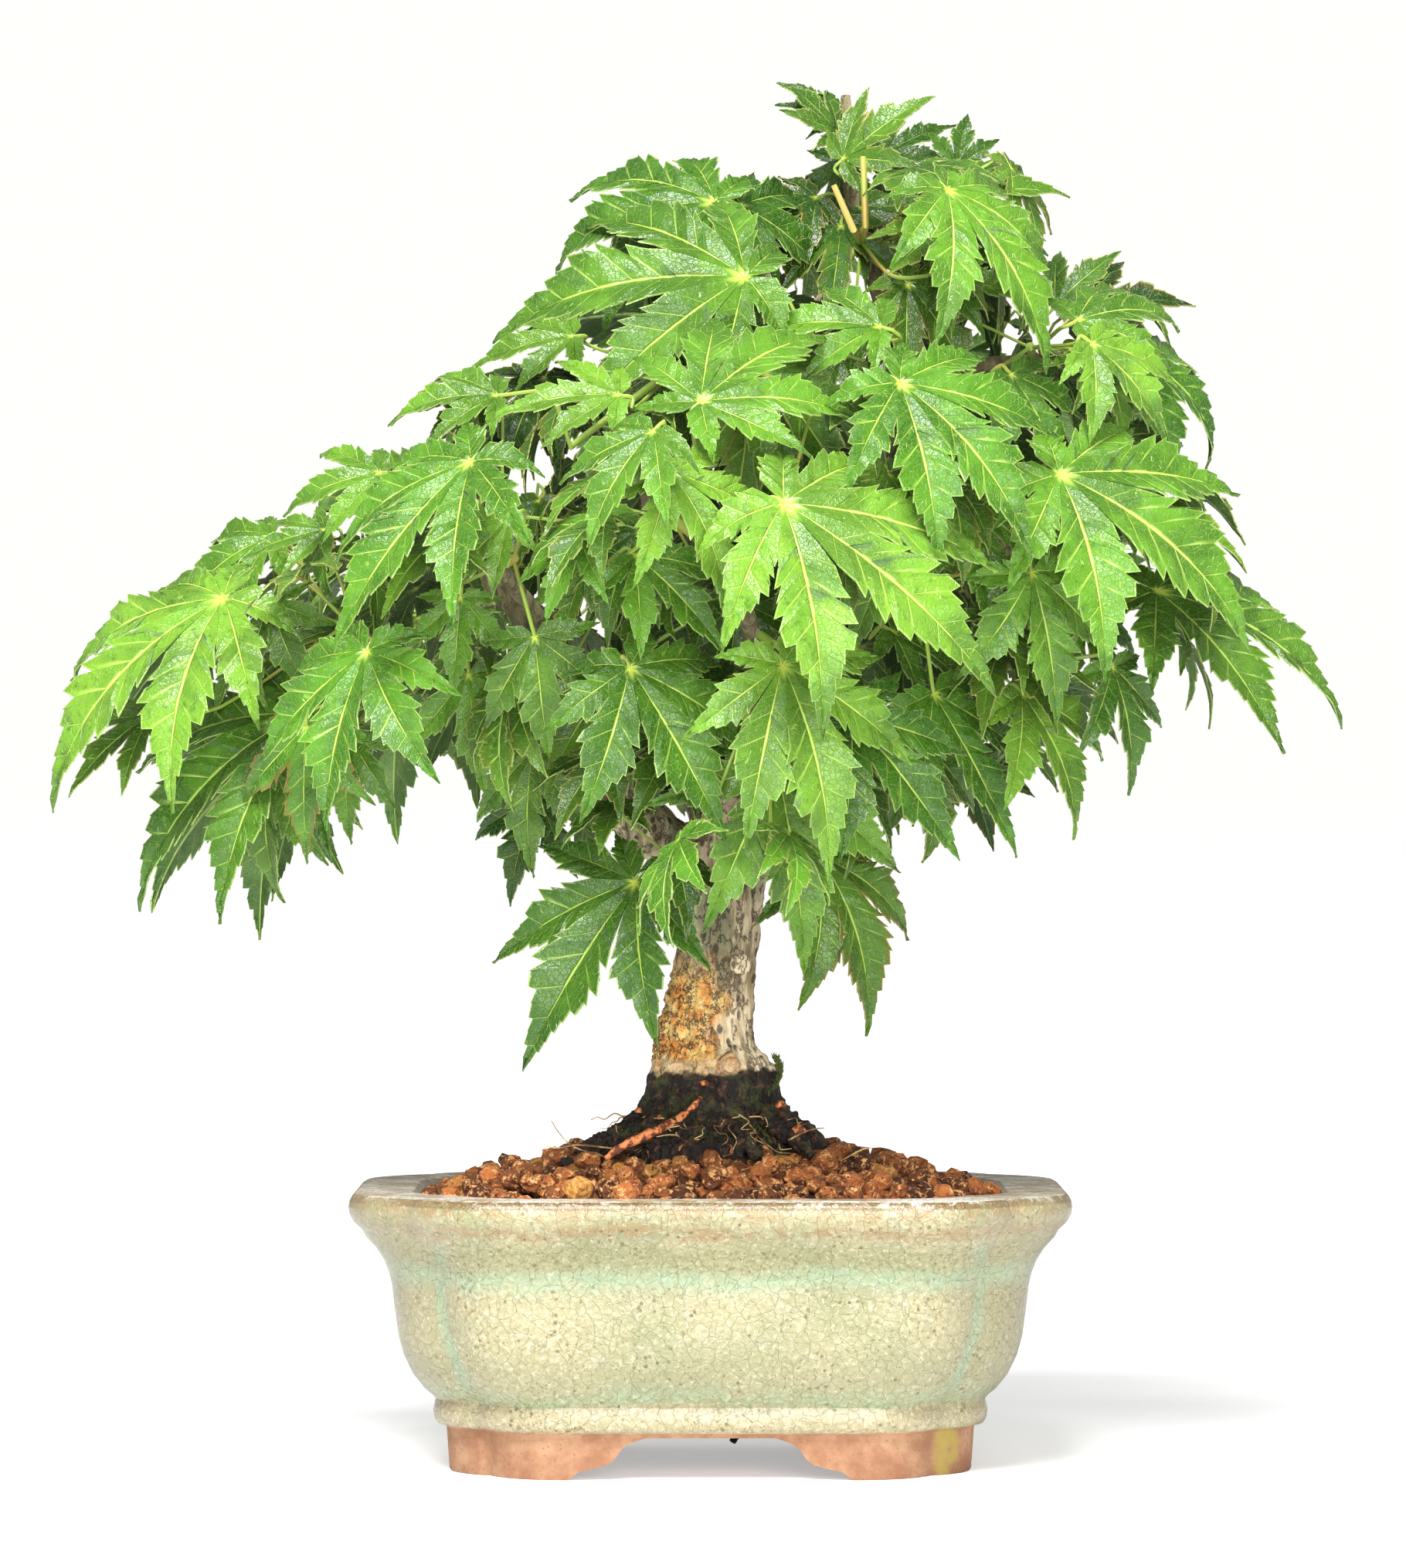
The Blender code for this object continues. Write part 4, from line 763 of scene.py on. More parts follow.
# Leafy sprays: 45 green shoots, each with its leaf stalks and leaves, which hang over the pot
# like drooping claws. Every leaf keeps the place and the form of the CAD model's, found by the
# same rule, and gets its saw teeth, veins, margins and folds here. Each leaf is x, y, z of its
# hub, the way its middle lobe points in the front view, how far that lobe leans to the viewer,
# both in degrees, its length, and how far it curls down, in radians.
SPRAYS = {
    "left_tip": [(-98, -38, 178, 207, 15, 58, 1.1), (-90, -15, 192, 195, 5, 26, 1.0),
                 (-107, -10, 164, 238, 0, 27, 0.9)],
    "left_low": [(-83, -28, 155, 207, 5, 56, 0.9), (-90, -12, 145, 258, 0, 32, 0.5),
                 (-81, -40, 150, 266, 5, 29, 0.5)],
    "left_front": [(-68, -62, 167, 248, 20, 39, 0.6), (-92, -22, 171, 230, 5, 20, 0.6),
                   (-89, -34, 177, 290, 10, 20, 0.5)],
    "left_under": [(-74, -6, 150, 262, 0, 24, 0.5), (-49, -30, 163, 276, 0, 27, 0.4)],
    "left_upper": [(-47, -74, 204, 222, 20, 46, 0.6), (-66, -45, 203, 188, 5, 24, 0.7)],
    "left_crown": [(-43, -35, 219, 175, 0, 23, 0.6), (-28, -20, 232, 185, 0, 24, 0.7),
                   (-18, -60, 215, 175, 0, 26, 0.5)],
    "left_inner": [(-40, -45, 189, 220, 5, 22, 0.5), (-50, -48, 178, 268, 8, 20, 0.4),
                   (-35, -58, 170, 278, 10, 28, 0.6)],
    "centre_left": [(-11, -80, 204, 228, 15, 27, 0.7), (-26, -70, 188, 248, 15, 20, 0.5)],
    "centre": [(-8, -90, 202, 305, 15, 34, 0.9), (-15, -75, 187, 322, 15, 26, 0.5)],
    "centre_right": [(14, -92, 195, 327, 15, 60, 0.7), (38, -50, 191, 240, 5, 26, 0.4)],
    "crown_front": [(-2, -72, 212, 41, -27, 42, 0.5)],
    "crown_mid": [(34, -58, 234, 168, 0, 28, 0.7), (7, -48, 242, 176, 5, 55, 0.8)],
    "top_left": [(1, -38, 263, 180, 5, 46, 1.1), (6, -30, 264, 325, 10, 28, 0.9),
                 (-8, -10, 254, 210, 0, 22, 0.6)],
    "apex": [(25, -8, 277, 125, -10, 15, 0.4), (28, 2, 273, 255, 10, 20, 0.4),
             (36, 10, 272, 35, -10, 17, 0.4)],
    "top_right": [(47, -55, 259, 318, 15, 42, 0.9),
                  (51, -5, 268, 80, -10, 14, 0.4)],
    "upper_inner": [(46, -28, 244, 350, 5, 22, 0.3), (13, -5, 259, 200, 0, 22, 0.4)],
    "right_upper": [(74, -38, 234, 22, -10, 28, 0.9), (76, -12, 234, 350, 0, 27, 1.0)],
    "right_shoulder": [(60, -58, 227, 308, 15, 26, 0.8), (76, -48, 228, 320, 10, 27, 0.7),
                       (84, -15, 229, 342, 0, 37, 1.2)],
    "right_front": [(37, -68, 216, 323, 18, 47, 0.6), (51, -45, 197, 285, 10, 32, 0.5)],
    "right_mid": [(69, -62, 202, 334, 12, 53, 0.7), (82, -15, 211, 340, 0, 30, 0.9)],
    "right_tip": [(91, -20, 180, 346, 5, 53, 0.9), (76, -8, 181, 302, 0, 26, 0.5)],
    "right_low": [(63, -30, 159, 306, 5, 35, 0.4), (82, -18, 164, 288, 0, 28, 0.4)],
    "right_under": [(45, -35, 159, 298, 5, 37, 0.3), (37, -30, 173, 330, 0, 25, 0.4),
                    (64, -52, 183, 283, 10, 33, 0.6)],
    "front_low": [(14, -78, 164, 298, 15, 44, 0.5), (28, -62, 154, 312, 5, 36, 0.4)],
    "front_left_low": [(-16, -66, 163, 300, 12, 41, 0.5), (-35, -10, 138, 245, 0, 23, 0.4)],
    "trunk_left": [(-36, -28, 148, 262, 0, 27, 0.4)],
    "trunk_sprig_left": [(-15, -42, 121, 231, 15, 43, 0.4)],
    "trunk_sprig_right": [(22, -28, 126, 306, 8, 40, 0.7), (13, -58, 145, 284, 8, 47, 0.4)],
}
# The far side isn't photographed. It repeats these leaves of front sprays turned to face +Y,
# and the two ends carry a few leaves that face along X.
MIRRORED = {
    "back_left": ["left_front", 0, 2], "back_left_low": ["left_low", 0, 2],
    "back_left_high": ["left_upper", 0, 2],
    "back_centre": ["centre_right", 0, 2], "back_centre_left": ["left_inner", 1, 3],
    "back_crown": ["crown_mid", 0, 2], "back_top": ["top_left", 0, 2], "back_right_top": ["top_right", 0, 1],
    "back_right": ["right_mid", 0, 1], "back_right_high": ["right_shoulder", 0, 2],
    "back_right_low": ["right_under", 0, 3], "back_front_right": ["right_front", 0, 2],
    "back_low": ["front_low", 0, 2], "back_low_left": ["front_left_low", 0, 1],
}
SIDEWAYS = {
    "end_right": (90, [(-20, -84, 196, 238, 18, 34, 0.7), (22, -82, 204, 300, 15, 34, 0.7)]),
    "end_right_low": (90, [(6, -74, 168, 280, 10, 30, 0.5)]),
    "end_left": (-90, [(-22, -84, 176, 235, 15, 33, 0.7), (20, -80, 200, 318, 12, 27, 0.6)]),
}
# Old leaf stalks cut short, as paths that leave the spray's node
STUBS = {
    "left_crown": [[(-28, -50, 208), (-31.5, -52, 219)]],
    "upper_inner": [[(29, -30, 253), (25, -31, 262)], [(31.5, -28, 254), (31, -29, 268)]],
}

# A leaf: the angle of each lobe and its length against the middle one
LOBES_WIDE = [(-124, 0.32), (-79, 0.57), (-38, 0.83), (0, 1.0), (38, 0.83), (79, 0.57), (124, 0.32)]
LOBES_FEW = [(-90, 0.46), (-43, 0.80), (0, 1.0), (43, 0.80), (90, 0.46)]
WIDE_FROM = 37.5  # leaves this long have all seven lobes
NEVER_WIDE = 99
BLADE_THICK = 0.7
TEST_THICK = 1.9  # blades are tried this thick, so that they clear each other
STALK_RADIUS = 0.5
GAP = 0.3
AS_GIVEN = (0, 0, 0, 1)  # the leaf stays where its row puts it
# How far a stalk bows sideways and outwards, in the order tried
BOWS = [(0, 0), (3, 0), (-3, 0), (0, -3), (5, -3), (-5, -3), (0, 3), (7, 0), (-7, 0), (4, 5), (-4, 5),
        (0, -7)]


def around(point, azimuth):
    return Matrix.Rotation(math.radians(azimuth), 3, "Z") @ Vector(point)


def all_sprays():
    """Every spray as name: (azimuth it is seen from, its leaves)."""
    sprays = {name: (0, list(leaves)) for name, leaves in SPRAYS.items()}
    for name, (source, first, after) in MIRRORED.items():
        draw = random.Random(name)
        leaves = []
        for x, y, z, turn, lean, length, droop in SPRAYS[source][first:after]:
            leaves.append((-x + draw.uniform(-7, 7), y + draw.uniform(-5, 3), z + draw.uniform(-6, 6),
                           180 - turn + draw.uniform(-14, 14), lean,
                           length * draw.uniform(0.82, 0.98), droop))
        sprays[name] = (180, leaves)
    sprays.update(SIDEWAYS)
    return sprays


def leaf_frame(leaf, azimuth, nudge, draw):
    """Hub, the way the middle lobe points, the way the upper side faces, and the way across."""
    x, y, z, turn, lean, length, droop = leaf
    shift, pitch, swing, size = nudge
    turn, lean = math.radians(turn + swing), math.radians(lean + pitch)
    along = Vector((math.cos(lean) * math.cos(turn), -math.sin(lean), math.cos(lean) * math.sin(turn)))
    face = Vector((0.004 * x, -0.72, 0.69))
    face = (face - along * face.dot(along)).normalized()
    face = Matrix.Rotation(math.radians(draw.uniform(-12, 12)), 3, along) @ face
    hub = Vector((x, y, z)) + Vector((0, -1, 0.35)) * shift
    return (around(hub, azimuth), around(along, azimuth), around(face, azimuth),
            around(along.cross(face), azimuth), length * size, droop)


def bent(frame, u, v):
    """A point of the flat leaf, u along and v across, on the drooping leaf, and its normal."""
    hub, along, face, across, length, droop = frame
    radius = math.hypot(u, v)
    if radius < 1e-6:
        return hub.copy(), face.copy()
    way = (along * u + across * v) / radius
    turn = droop * radius / length
    rate = droop / length
    point = hub + way * (math.sin(turn) / rate) - face * ((1 - math.cos(turn)) / rate)
    return point, face * math.cos(turn) + way * math.sin(turn)


def lobes_of(length, draw, wide_from=WIDE_FROM):
    lobes = LOBES_WIDE if length >= wide_from else LOBES_FEW
    return [(angle + draw.uniform(-4, 4), share * draw.uniform(0.93, 1.07)) for angle, share in lobes]


def plain_blade(frame, lobes, thick):
    """A leaf blade as in the CAD model: its room among the others is found with this shape."""
    length = frame[4]
    outline, faces = [(0.0, -STALK_RADIUS)], []

    def put(angle, along, across):
        angle = math.radians(angle)
        outline.append((length * (along * math.cos(angle) - across * math.sin(angle)),
                        length * (along * math.sin(angle) + across * math.cos(angle))))
        return len(outline) - 1

    before = 0
    last = len(lobes) - 1
    rims = []
    for i, (angle, share) in enumerate(lobes):
        seven = last == 6
        outer = i in (0, last)
        toothed = abs(i - last // 2) <= (1 if seven else 0) and length > 23
        rim = [before]
        if outer and i == 0:
            rim += [put(angle, 0.50 * share, -0.20 * share), put(angle, share, 0)]
        elif outer:
            rim += [put(angle, share, 0), put(angle, 0.50 * share, 0.20 * share)]
        elif toothed:
            rim += [put(angle, 0.55 * share, -0.175 * share), put(angle, 0.61 * share, -0.105 * share),
                    put(angle, share, 0), put(angle, 0.68 * share, 0.09 * share),
                    put(angle, 0.61 * share, 0.165 * share)]
        else:
            rim += [put(angle, 0.57 * share, -0.16 * share), put(angle, share, 0),
                    put(angle, 0.57 * share, 0.16 * share)]
        if i < last:
            angle_2, share_2 = lobes[i + 1]
            rim.append(put((angle + angle_2) / 2, 0.33 * min(share, share_2) + 0.02, 0))
        else:
            outline.append((0.0, STALK_RADIUS))
            rim.append(len(outline) - 1)
        rims.append(rim)
        before = rim[-1]
    left_hub = len(outline) - 1
    for i, rim in enumerate(rims):
        middle = i == last // 2
        hub = 0 if i <= last // 2 else left_hub
        if i == 0 or i == last:
            faces += [(hub, a, b) for a, b in zip(rim, rim[1:]) if hub not in (a, b)]
            continue
        faces.append((hub, rim[0], rim[-1]))
        if middle:
            faces.append((hub, rim[-1], left_hub))
        left, right = 0, len(rim) - 1
        while right - left > 1:
            if left <= len(rim) - 1 - right:
                faces.append((rim[left], rim[left + 1], rim[right]))
                left += 1
            else:
                faces.append((rim[left], rim[right - 1], rim[right]))
                right -= 1
    points = []
    for side in (0.5, -0.5):
        for u, v in outline:
            point, normal = bent(frame, u, v)
            points.append(point + normal * thick * side)
    count = len(outline)
    skin = list(faces) + [(a + count, c + count, b + count) for a, b, c in faces]
    for i in range(count - 1):
        skin += [(i + 1, i, i + count), (i + 1, i + count, i + 1 + count)]
    skin.append((left_hub, 0, count, count + left_hub))
    return points, skin


def stalk(node, frame, bow):
    """A leaf stalk from the back of the blade to the spray's node."""
    hub, along, face, across, length, droop = frame
    reach = (hub - node).length
    middle = hub - along * (2.5 + reach * 0.24) - face * (0.4 + reach * 0.08)
    middle += across * bow[0] * 0.6 + face * bow[1] * 0.6
    places = [hub, middle, node]
    if (middle - hub).normalized().dot((node - middle).normalized()) < 0.45:
        # The node lies ahead of the leaf, so the stalk turns back under it in two bends.
        aside = across * (bow[0] * 0.8 + (0.5 if bow[0] >= 0 else -0.5))
        behind = hub - along * 2.6 - face * 0.3
        places = [hub, behind, behind - face * (3.0 + 0.5 * abs(bow[1])) + aside - along * 0.6, node]
    elif bow == (0, 0) and (node - hub).normalized().dot(-along) > 0.9:
        places = [hub, node]
    return [(place, STALK_RADIUS) for place in places]


def boxed(shape):
    """A shape's search tree, and the corners of its box."""
    points = [Vector(p) for p in shape[0]]
    low, high = (Vector([pick(p[i] for p in points) for i in range(3)]) for pick in (min, max))
    return BVHTree.FromPolygons(points, shape[1]), low, high


class Room:
    """The pieces already standing, to try a new one against."""

    def __init__(self):
        self.pieces = []

    def add(self, owner, shape):
        self.pieces.append((owner, *boxed(shape)))

    def add_leaf(self, owner, leaf, lobes, path):
        self.add("blades", plain_blade(leaf, lobes, BLADE_THICK))
        self.add(owner, tube(path, 4))

    def meets(self, shape, but=None):
        """Whether a shape meets a piece of any owner but this one."""
        tree, low, high = boxed(shape)
        for owner, other, other_low, other_high in self.pieces:
            if owner == but or any(low[i] > other_high[i] or high[i] < other_low[i] for i in range(3)):
                continue
            if tree.overlap(other):
                return True
        return False

    def blocks(self, path, spare, but=None):
        """Whether a stalk along this path comes nearer than spare to another owner's piece."""
        return self.meets(tube([(p, r + spare) for p, r in path], 4), but)


def nudges():
    """Small changes to a leaf's place, in the order they are tried."""
    steps = [(0, 0, 0, 1)]
    for shift in (2, -2, 4, -4, 6.5, -6.5, 9, -9, 12, -12):
        steps.append((shift, 0, 0, 1))
    for size in (1, 0.85):
        for pitch, swing in ((10, 0), (-10, 0), (0, 9), (0, -9), (16, 8), (-16, -8), (22, -12), (-20, 12)):
            for shift in (0, 3, -3, 6, -6, 10, -10, 14, -14):
                steps.append((shift, pitch, swing, size))
    return steps


def nearest_branch(target):
    """The place along a branch that best carries a spray at the target."""
    best = None
    for points in BRANCHES.values():
        for a, b in zip(points, points[1:]):
            for step in range(5):
                place = Vector(a[:3]).lerp(Vector(b[:3]), step / 4)
                if place.z < 112:
                    continue
                cost = (place - target).length + 0.6 * max(0.0, place.z - target.z)
                if best is None or cost < best[0]:
                    best = (cost, place, a[3] + (b[3] - a[3]) * step / 4)
    return best[1], best[2]


def place_leaf(name, i, leaf, azimuth, node, room):
    """The first small change to the leaf that leaves its blade and its stalk clear."""
    for nudge in nudges():
        draw = random.Random(f"{name} {i}")
        frame = leaf_frame(leaf, azimuth, nudge, draw)
        lobes = lobes_of(leaf[5], draw, WIDE_FROM if azimuth == 0 else NEVER_WIDE)
        if room.meets(plain_blade(frame, lobes, TEST_THICK)):
            continue
        own = Room()
        own.add("blade", plain_blade(frame, lobes, BLADE_THICK))
        for bow in BOWS:
            path = stalk(node, frame, bow)
            clear = [(path[0][0].lerp(path[1][0], 0.3), STALK_RADIUS + 0.1)] + path[1:]
            if not room.blocks(path, 0.45, name) and not own.meets(tube(clear, 4)):
                return frame, lobes, path
    return None


def plan_sprays(room):
    """Twigs, and each spray's shoot, stalks and blades, each bent clear of those before it."""
    sprays, twigs, grown = all_sprays(), [], {}
    for name, (azimuth, leaves) in sprays.items():
        anchors = []
        for leaf in leaves:
            frame = leaf_frame(leaf, azimuth, AS_GIVEN, random.Random(name))
            anchors.append(frame[0] - frame[1] * 7)
        middle = sum(anchors, Vector()) / len(anchors)
        foot, thick = nearest_branch(middle)
        way = middle - foot
        reach = way.length
        way.normalize()
        sideways = way.orthogonal().normalized()
        for step in range(80):
            aside = Matrix.Rotation(step * 2.4, 3, way) @ sideways * (0.7 * step ** 0.75)
            base = foot + way * max(4.0, reach - 20) + aside
            node = foot + way * max(9.0, reach - 13) + aside * 1.3
            start = base + (base - foot).normalized() * GAP
            shoot = [(start, 0.95), (node, 0.95)]
            wood = tube([(foot, min(thick * 0.8, 1.7)), (base, 1.1)], 3)
            alone = Room()
            alone.add("wood", wood)
            if not (room.blocks(shoot, 0.03) or alone.blocks(shoot, 0.03) or room.meets(wood, "wood")):
                break
        twigs.append(wood)
        room.add("wood", wood)
        room.add(name, tube(shoot, 4))
        grown[name] = {"azimuth": azimuth, "node": node.lerp(start, 0.15), "shoot": shoot,
                       "leaves": [], "small": []}
    for name, stubs in STUBS.items():
        for low, high in stubs:
            room.add(name, tube([(grown[name]["node"], 0.8), (Vector(low), 0.75), (Vector(high), 0.7)], 4))
    order = [(name, i) for name, (_, leaves) in sprays.items() for i in range(len(leaves))]
    order.sort(key=lambda one: (one[0] not in SPRAYS, -sprays[one[0]][1][one[1]][5]))
    for name, i in order:
        azimuth, leaves = sprays[name]
        node = grown[name]["node"].lerp(grown[name]["shoot"][0][0], 0.09 * i)
        node += Vector((0.07, -0.05, 0.06)) * (i + 1)
        placed = place_leaf(name, i, leaves[i], azimuth, node, room)
        if placed:
            room.add_leaf(name, *placed)
            grown[name]["leaves"].append(placed)
    return twigs, grown


# No leaf leaves the CAD model's box.
cad_low, cad_high = (Vector(corner) / MM + Vector((0.3, 0.3, 0.3)) * side
                     for corner, side in zip(cad_box, (1, -1)))

BASE_ROWS = 3
FINE_THICK = 0.28  # of a blade as it is seen
SMALL_TEETH = 8


def half_lobe(reach, away, sinus, teeth, plump, draw):
    """Rows of one side of a lobe, each its midrib point, its margin point, and its place in teeth.

    The teeth come in pairs, a small one and then a large one that a side vein runs out to."""
    sinus_x, sinus_y = sinus * math.cos(away), sinus * math.sin(away)
    rows = [(0.6 * sinus_x * k / BASE_ROWS, sinus_x * k / BASE_ROWS, sinus_y * k / BASE_ROWS,
             2.0 * k / BASE_ROWS) for k in range(BASE_ROWS)]
    widest = max(plump * reach, sinus_y * 1.15)
    for tooth in range(teeth):
        depth, tip = (draw.uniform(0.22, 0.40), 0.93) if tooth % 2 == 0 else (draw.uniform(0.08, 0.20), 1.0)
        for f, out in ((0.0, 0.0), (0.95, tip)):
            t = ((tooth + f) / teeth) ** 0.92
            if t < 0.42:
                wide = sinus_y + (widest - sinus_y) * math.sin(math.pi / 2 * t / 0.42)
            else:
                tail = (t - 0.42) / 0.58
                wide = widest * (1 - tail) ** 1.05 * (1 - 0.22 * math.sin(math.pi * tail))
            x = sinus_x + (reach - sinus_x) * t
            if tooth == 0 and f == 0:
                rows.append((x - 0.85 * wide * math.cos(away), x, wide, 2.0))
                continue
            cut_in = out if out else 1 - depth
            rows.append((x - 0.85 * wide * (1 - 0.5 * t), x + 0.022 * reach * out * (1 - t), wide * cut_in,
                         2.0 + tooth + f))
    return rows


def fine_blade(frame, lobes, draw, teeth, columns):
    """Points, faces, for each face corner its place on the lobe, and which points lie on the margin."""
    length = frame[4]
    points, faces, places, margins = [], [], [], []
    curl = draw.uniform(0.03, 0.075)
    fold = draw.uniform(0.24, 0.46)
    plump = draw.uniform(0.155, 0.205)
    for i, (angle, share) in enumerate(lobes):
        reach = share * length
        turned = math.radians(angle)
        hook = draw.uniform(-0.10, 0.10)
        dip = curl * draw.uniform(0.3, 2.6)
        for side in (-1, 1):
            j = i + side
            free = not 0 <= j < len(lobes)
            if free:
                away, sinus = math.radians(46), 0.11 * length
            else:
                away = abs(math.radians(lobes[j][0] - angle)) / 2
                sinus = (0.33 * min(share, lobes[j][1]) + 0.02) * length
            some = max(2, round(teeth * (0.55 + 0.45 * share)))
            rows = half_lobe(reach, away, sinus, some, plump, draw) + [(reach, reach, 0.0, 2.0 + some)]
            start = len(points)
            phase = draw.uniform(0, 6.28)
            for mid, x, y, along in rows:
                for column in range(columns + 1):
                    c = column / columns
                    px, py = mid + (x - mid) * c, y * c * side
                    high = fold * abs(py) - dip * length * (px / reach) ** 3
                    py += hook * reach * (px / reach) ** 2
                    u = px * math.cos(turned) - py * math.sin(turned)
                    v = px * math.sin(turned) + py * math.cos(turned)
                    point, normal = bent(frame, u, v)
                    if along > 2:
                        swell = math.sin(math.pi * (along / 2 % 1) ** 0.8)
                        high += 0.28 * math.sin(along * 1.3 + phase) * c
                        high += 0.014 * length * swell * (1 - abs(2 * c - 1))
                    points.append(point + normal * high)
                    margins.append(1.0 if column == columns and (along >= 2 or free) else 0.0)
            for row in range(len(rows) - 1):
                low, high = rows[row][3], rows[row + 1][3]
                for column in range(columns):
                    a = start + row * (columns + 1) + column
                    b = a + columns + 1
                    near, far = side * column / columns, side * (column + 1) / columns
                    corners = [(a, (near, low)), (b, (near, high)), (b + 1, (far, high)), (a + 1, (far, low))]
                    if side > 0:
                        corners.reverse()
                    faces.append(tuple(corner for corner, _ in corners))
                    places.append([spot for _, spot in corners])
    return points, faces, places, margins


def spray_piece(name, leaves, stems):
    """One spray: its blades as one thin sheet given two faces, joined with its stalks and shoot."""
    points, faces, places, margins, tones = [], [], [], [], []
    for leaf, lobes, draw, teeth, columns, tone in leaves:
        start = len(points)
        some = fine_blade(leaf, lobes, draw, teeth, columns)
        points += some[0]
        faces += [tuple(start + i for i in face) for face in some[1]]
        places += some[2]
        margins += some[3]
        tones += [(*tone, 1)] * len(some[0])
    mesh = bpy.data.meshes.new(name)
    points = [Vector(min(max(p[i], cad_low[i]), cad_high[i]) for i in range(3)) for p in points]
    mesh.from_pydata([p * MM for p in points], [], faces)
    spots = [spot for face in places for spot in face]
    mesh.uv_layers.new(name="lobe").data.foreach_set("uv", np.ravel(spots))
    mesh.attributes.new("margin", "FLOAT", "POINT").data.foreach_set("value", margins)
    mesh.attributes.new("tone", "FLOAT_COLOR", "POINT").data.foreach_set("color", np.ravel(tones))
    shaped = bmesh.new()
    shaped.from_mesh(mesh)
    bmesh.ops.remove_doubles(shaped, verts=shaped.verts, dist=2e-6)
    bmesh.ops.dissolve_degenerate(shaped, edges=shaped.edges, dist=1e-6)
    shaped.to_mesh(mesh)
    shaped.free()
    piece = new_piece(name, mesh, LEAF_FINISHES)
    modify(piece, "SOLIDIFY", thickness=FINE_THICK * MM, offset=0, material_offset=1)
    stalks = mesh_piece(name + "_stalks", *merged(stems), *LEAF_FINISHES)
    for face in stalks.data.polygons:
        face.material_index = 2
    stalks.select_set(True)
    bpy.ops.object.join()
    smooth(piece, 50)
    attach(piece, "root")
    return piece


def leaf_finish(name, upper):
    """Leaf green with a pale midrib, side veins that run out to the teeth, and a fine pale margin.

    The map "lobe" holds how far a spot lies across the lobe and along it, in teeth. The attribute
    "tone" holds the leaf's painted light and shade, how sunny its green is, which is random and grows with
    that painted light, and how red its margin is."""
    finish = new_finish(name, 0.26 if upper else 0.6, {"Specular IOR Level": 0.46})
    lobe = node("ShaderNodeUVMap", uv_map="lobe").outputs["UV"]
    spot = node("ShaderNodeSeparateXYZ", {"Vector": lobe}).outputs
    tone = node("ShaderNodeAttribute", attribute_name="tone").outputs["Color"]
    painted_light, sunny, blush = list(node("ShaderNodeSeparateColor", {"Color": tone}).outputs)[:3]
    margin = node("ShaderNodeAttribute", attribute_name="margin").outputs["Fac"]
    across, along = reckon("ABSOLUTE", spot[0]), spot[1]
    cloud, blotch = grain(120, 4), grain(420, 4, 0.7)
    net = step(cells(900.0, None, "DISTANCE_TO_EDGE"), 0.07, 0.0, 0, 0.32)
    # A side vein runs along every second tooth's line, the long one of each pair.
    pair = reckon("FRACT", times(along, 0.5))
    vein = times(step(times(from_middle(pair), 2.0), 0.955, 0.995), step(across, 1.0, 0.3, 0.12, 0.7))
    vein = times(vein, step(along, 1.2, 2.0))
    rib, hub, heart = step(across, 0.085, 0.03), step(along, 0.75, 0.2), step(along, 0.45, 0.1)
    lines = highest(highest(rib, vein), highest(net, hub))
    pale = (0.50, 0.70, 0.12) if upper else (0.36, 0.48, 0.15)
    # The green is mixed from near black to mid green by the leaf's painted light and shade for its place in
    # the crown; the sunny green and the cloud follow it.
    if upper:
        blade = layered((0.005, 0.028, 0.003), (painted_light, (0.066, 0.225, 0.009)), (sunny, (0.30, 0.52, 0.045)),
                        (times(step(cloud, 0.42, 0.66, 0, 0.6), painted_light), (0.12, 0.31, 0.025)))
    else:
        blade = layered((0.018, 0.055, 0.010), (painted_light, (0.13, 0.27, 0.06)),
                        (times(step(cloud, 0.4, 0.7, 0, 0.4), painted_light), (0.20, 0.32, 0.10)))
    # The veins are painted paler on leaves with more painted light.
    colour = layered(
        blade, (step(grain(62, 3), 0.42, 0.60, 0, 0.5), (0.010, 0.052, 0.006)),
        (step(blotch, 0.53, 0.70, 0, 0.6), (0.025, 0.10, 0.008)),
        (times(lines, step(painted_light, 0.0, 0.9, 0.45, 0.85)), pale), (times(heart, 0.7), (0.58, 0.60, 0.06)),
        (times(step(margin, 0.88, 0.99), 0.6), (0.42, 0.56, 0.15)),
        (times(step(margin, 0.45, 0.95), blush), (0.24, 0.07, 0.02)))
    finish_off(colour, plus(times(lines, -1.0 if upper else 1.0), times(blotch, 0.8)), 0.0007, 0.7)
    return finish


leaf_top = leaf_finish("leaf_upper_side", True)
leaf_under = leaf_finish("leaf_under_side", False)
stalk_skin = new_finish("leaf_stalk", 0.45)
finish_off(layered((0.32, 0.47, 0.07), (step(grain(45, 3), 0.5, 0.7), (0.46, 0.33, 0.08))),
           grain(900), 0.0002, 0.3)
LEAF_FINISHES = (leaf_top, leaf_under, stalk_skin)

room = Room()
room.add("wood", loft([trunk_ring(*ring) for ring in TRUNK_RINGS]))
for points in BRANCHES.values():
    room.add("wood", tube([(Vector(p[:3]), p[3]) for p in points], 6 if points[0][3] > 4 else 4))
twigs, grown = plan_sprays(room)
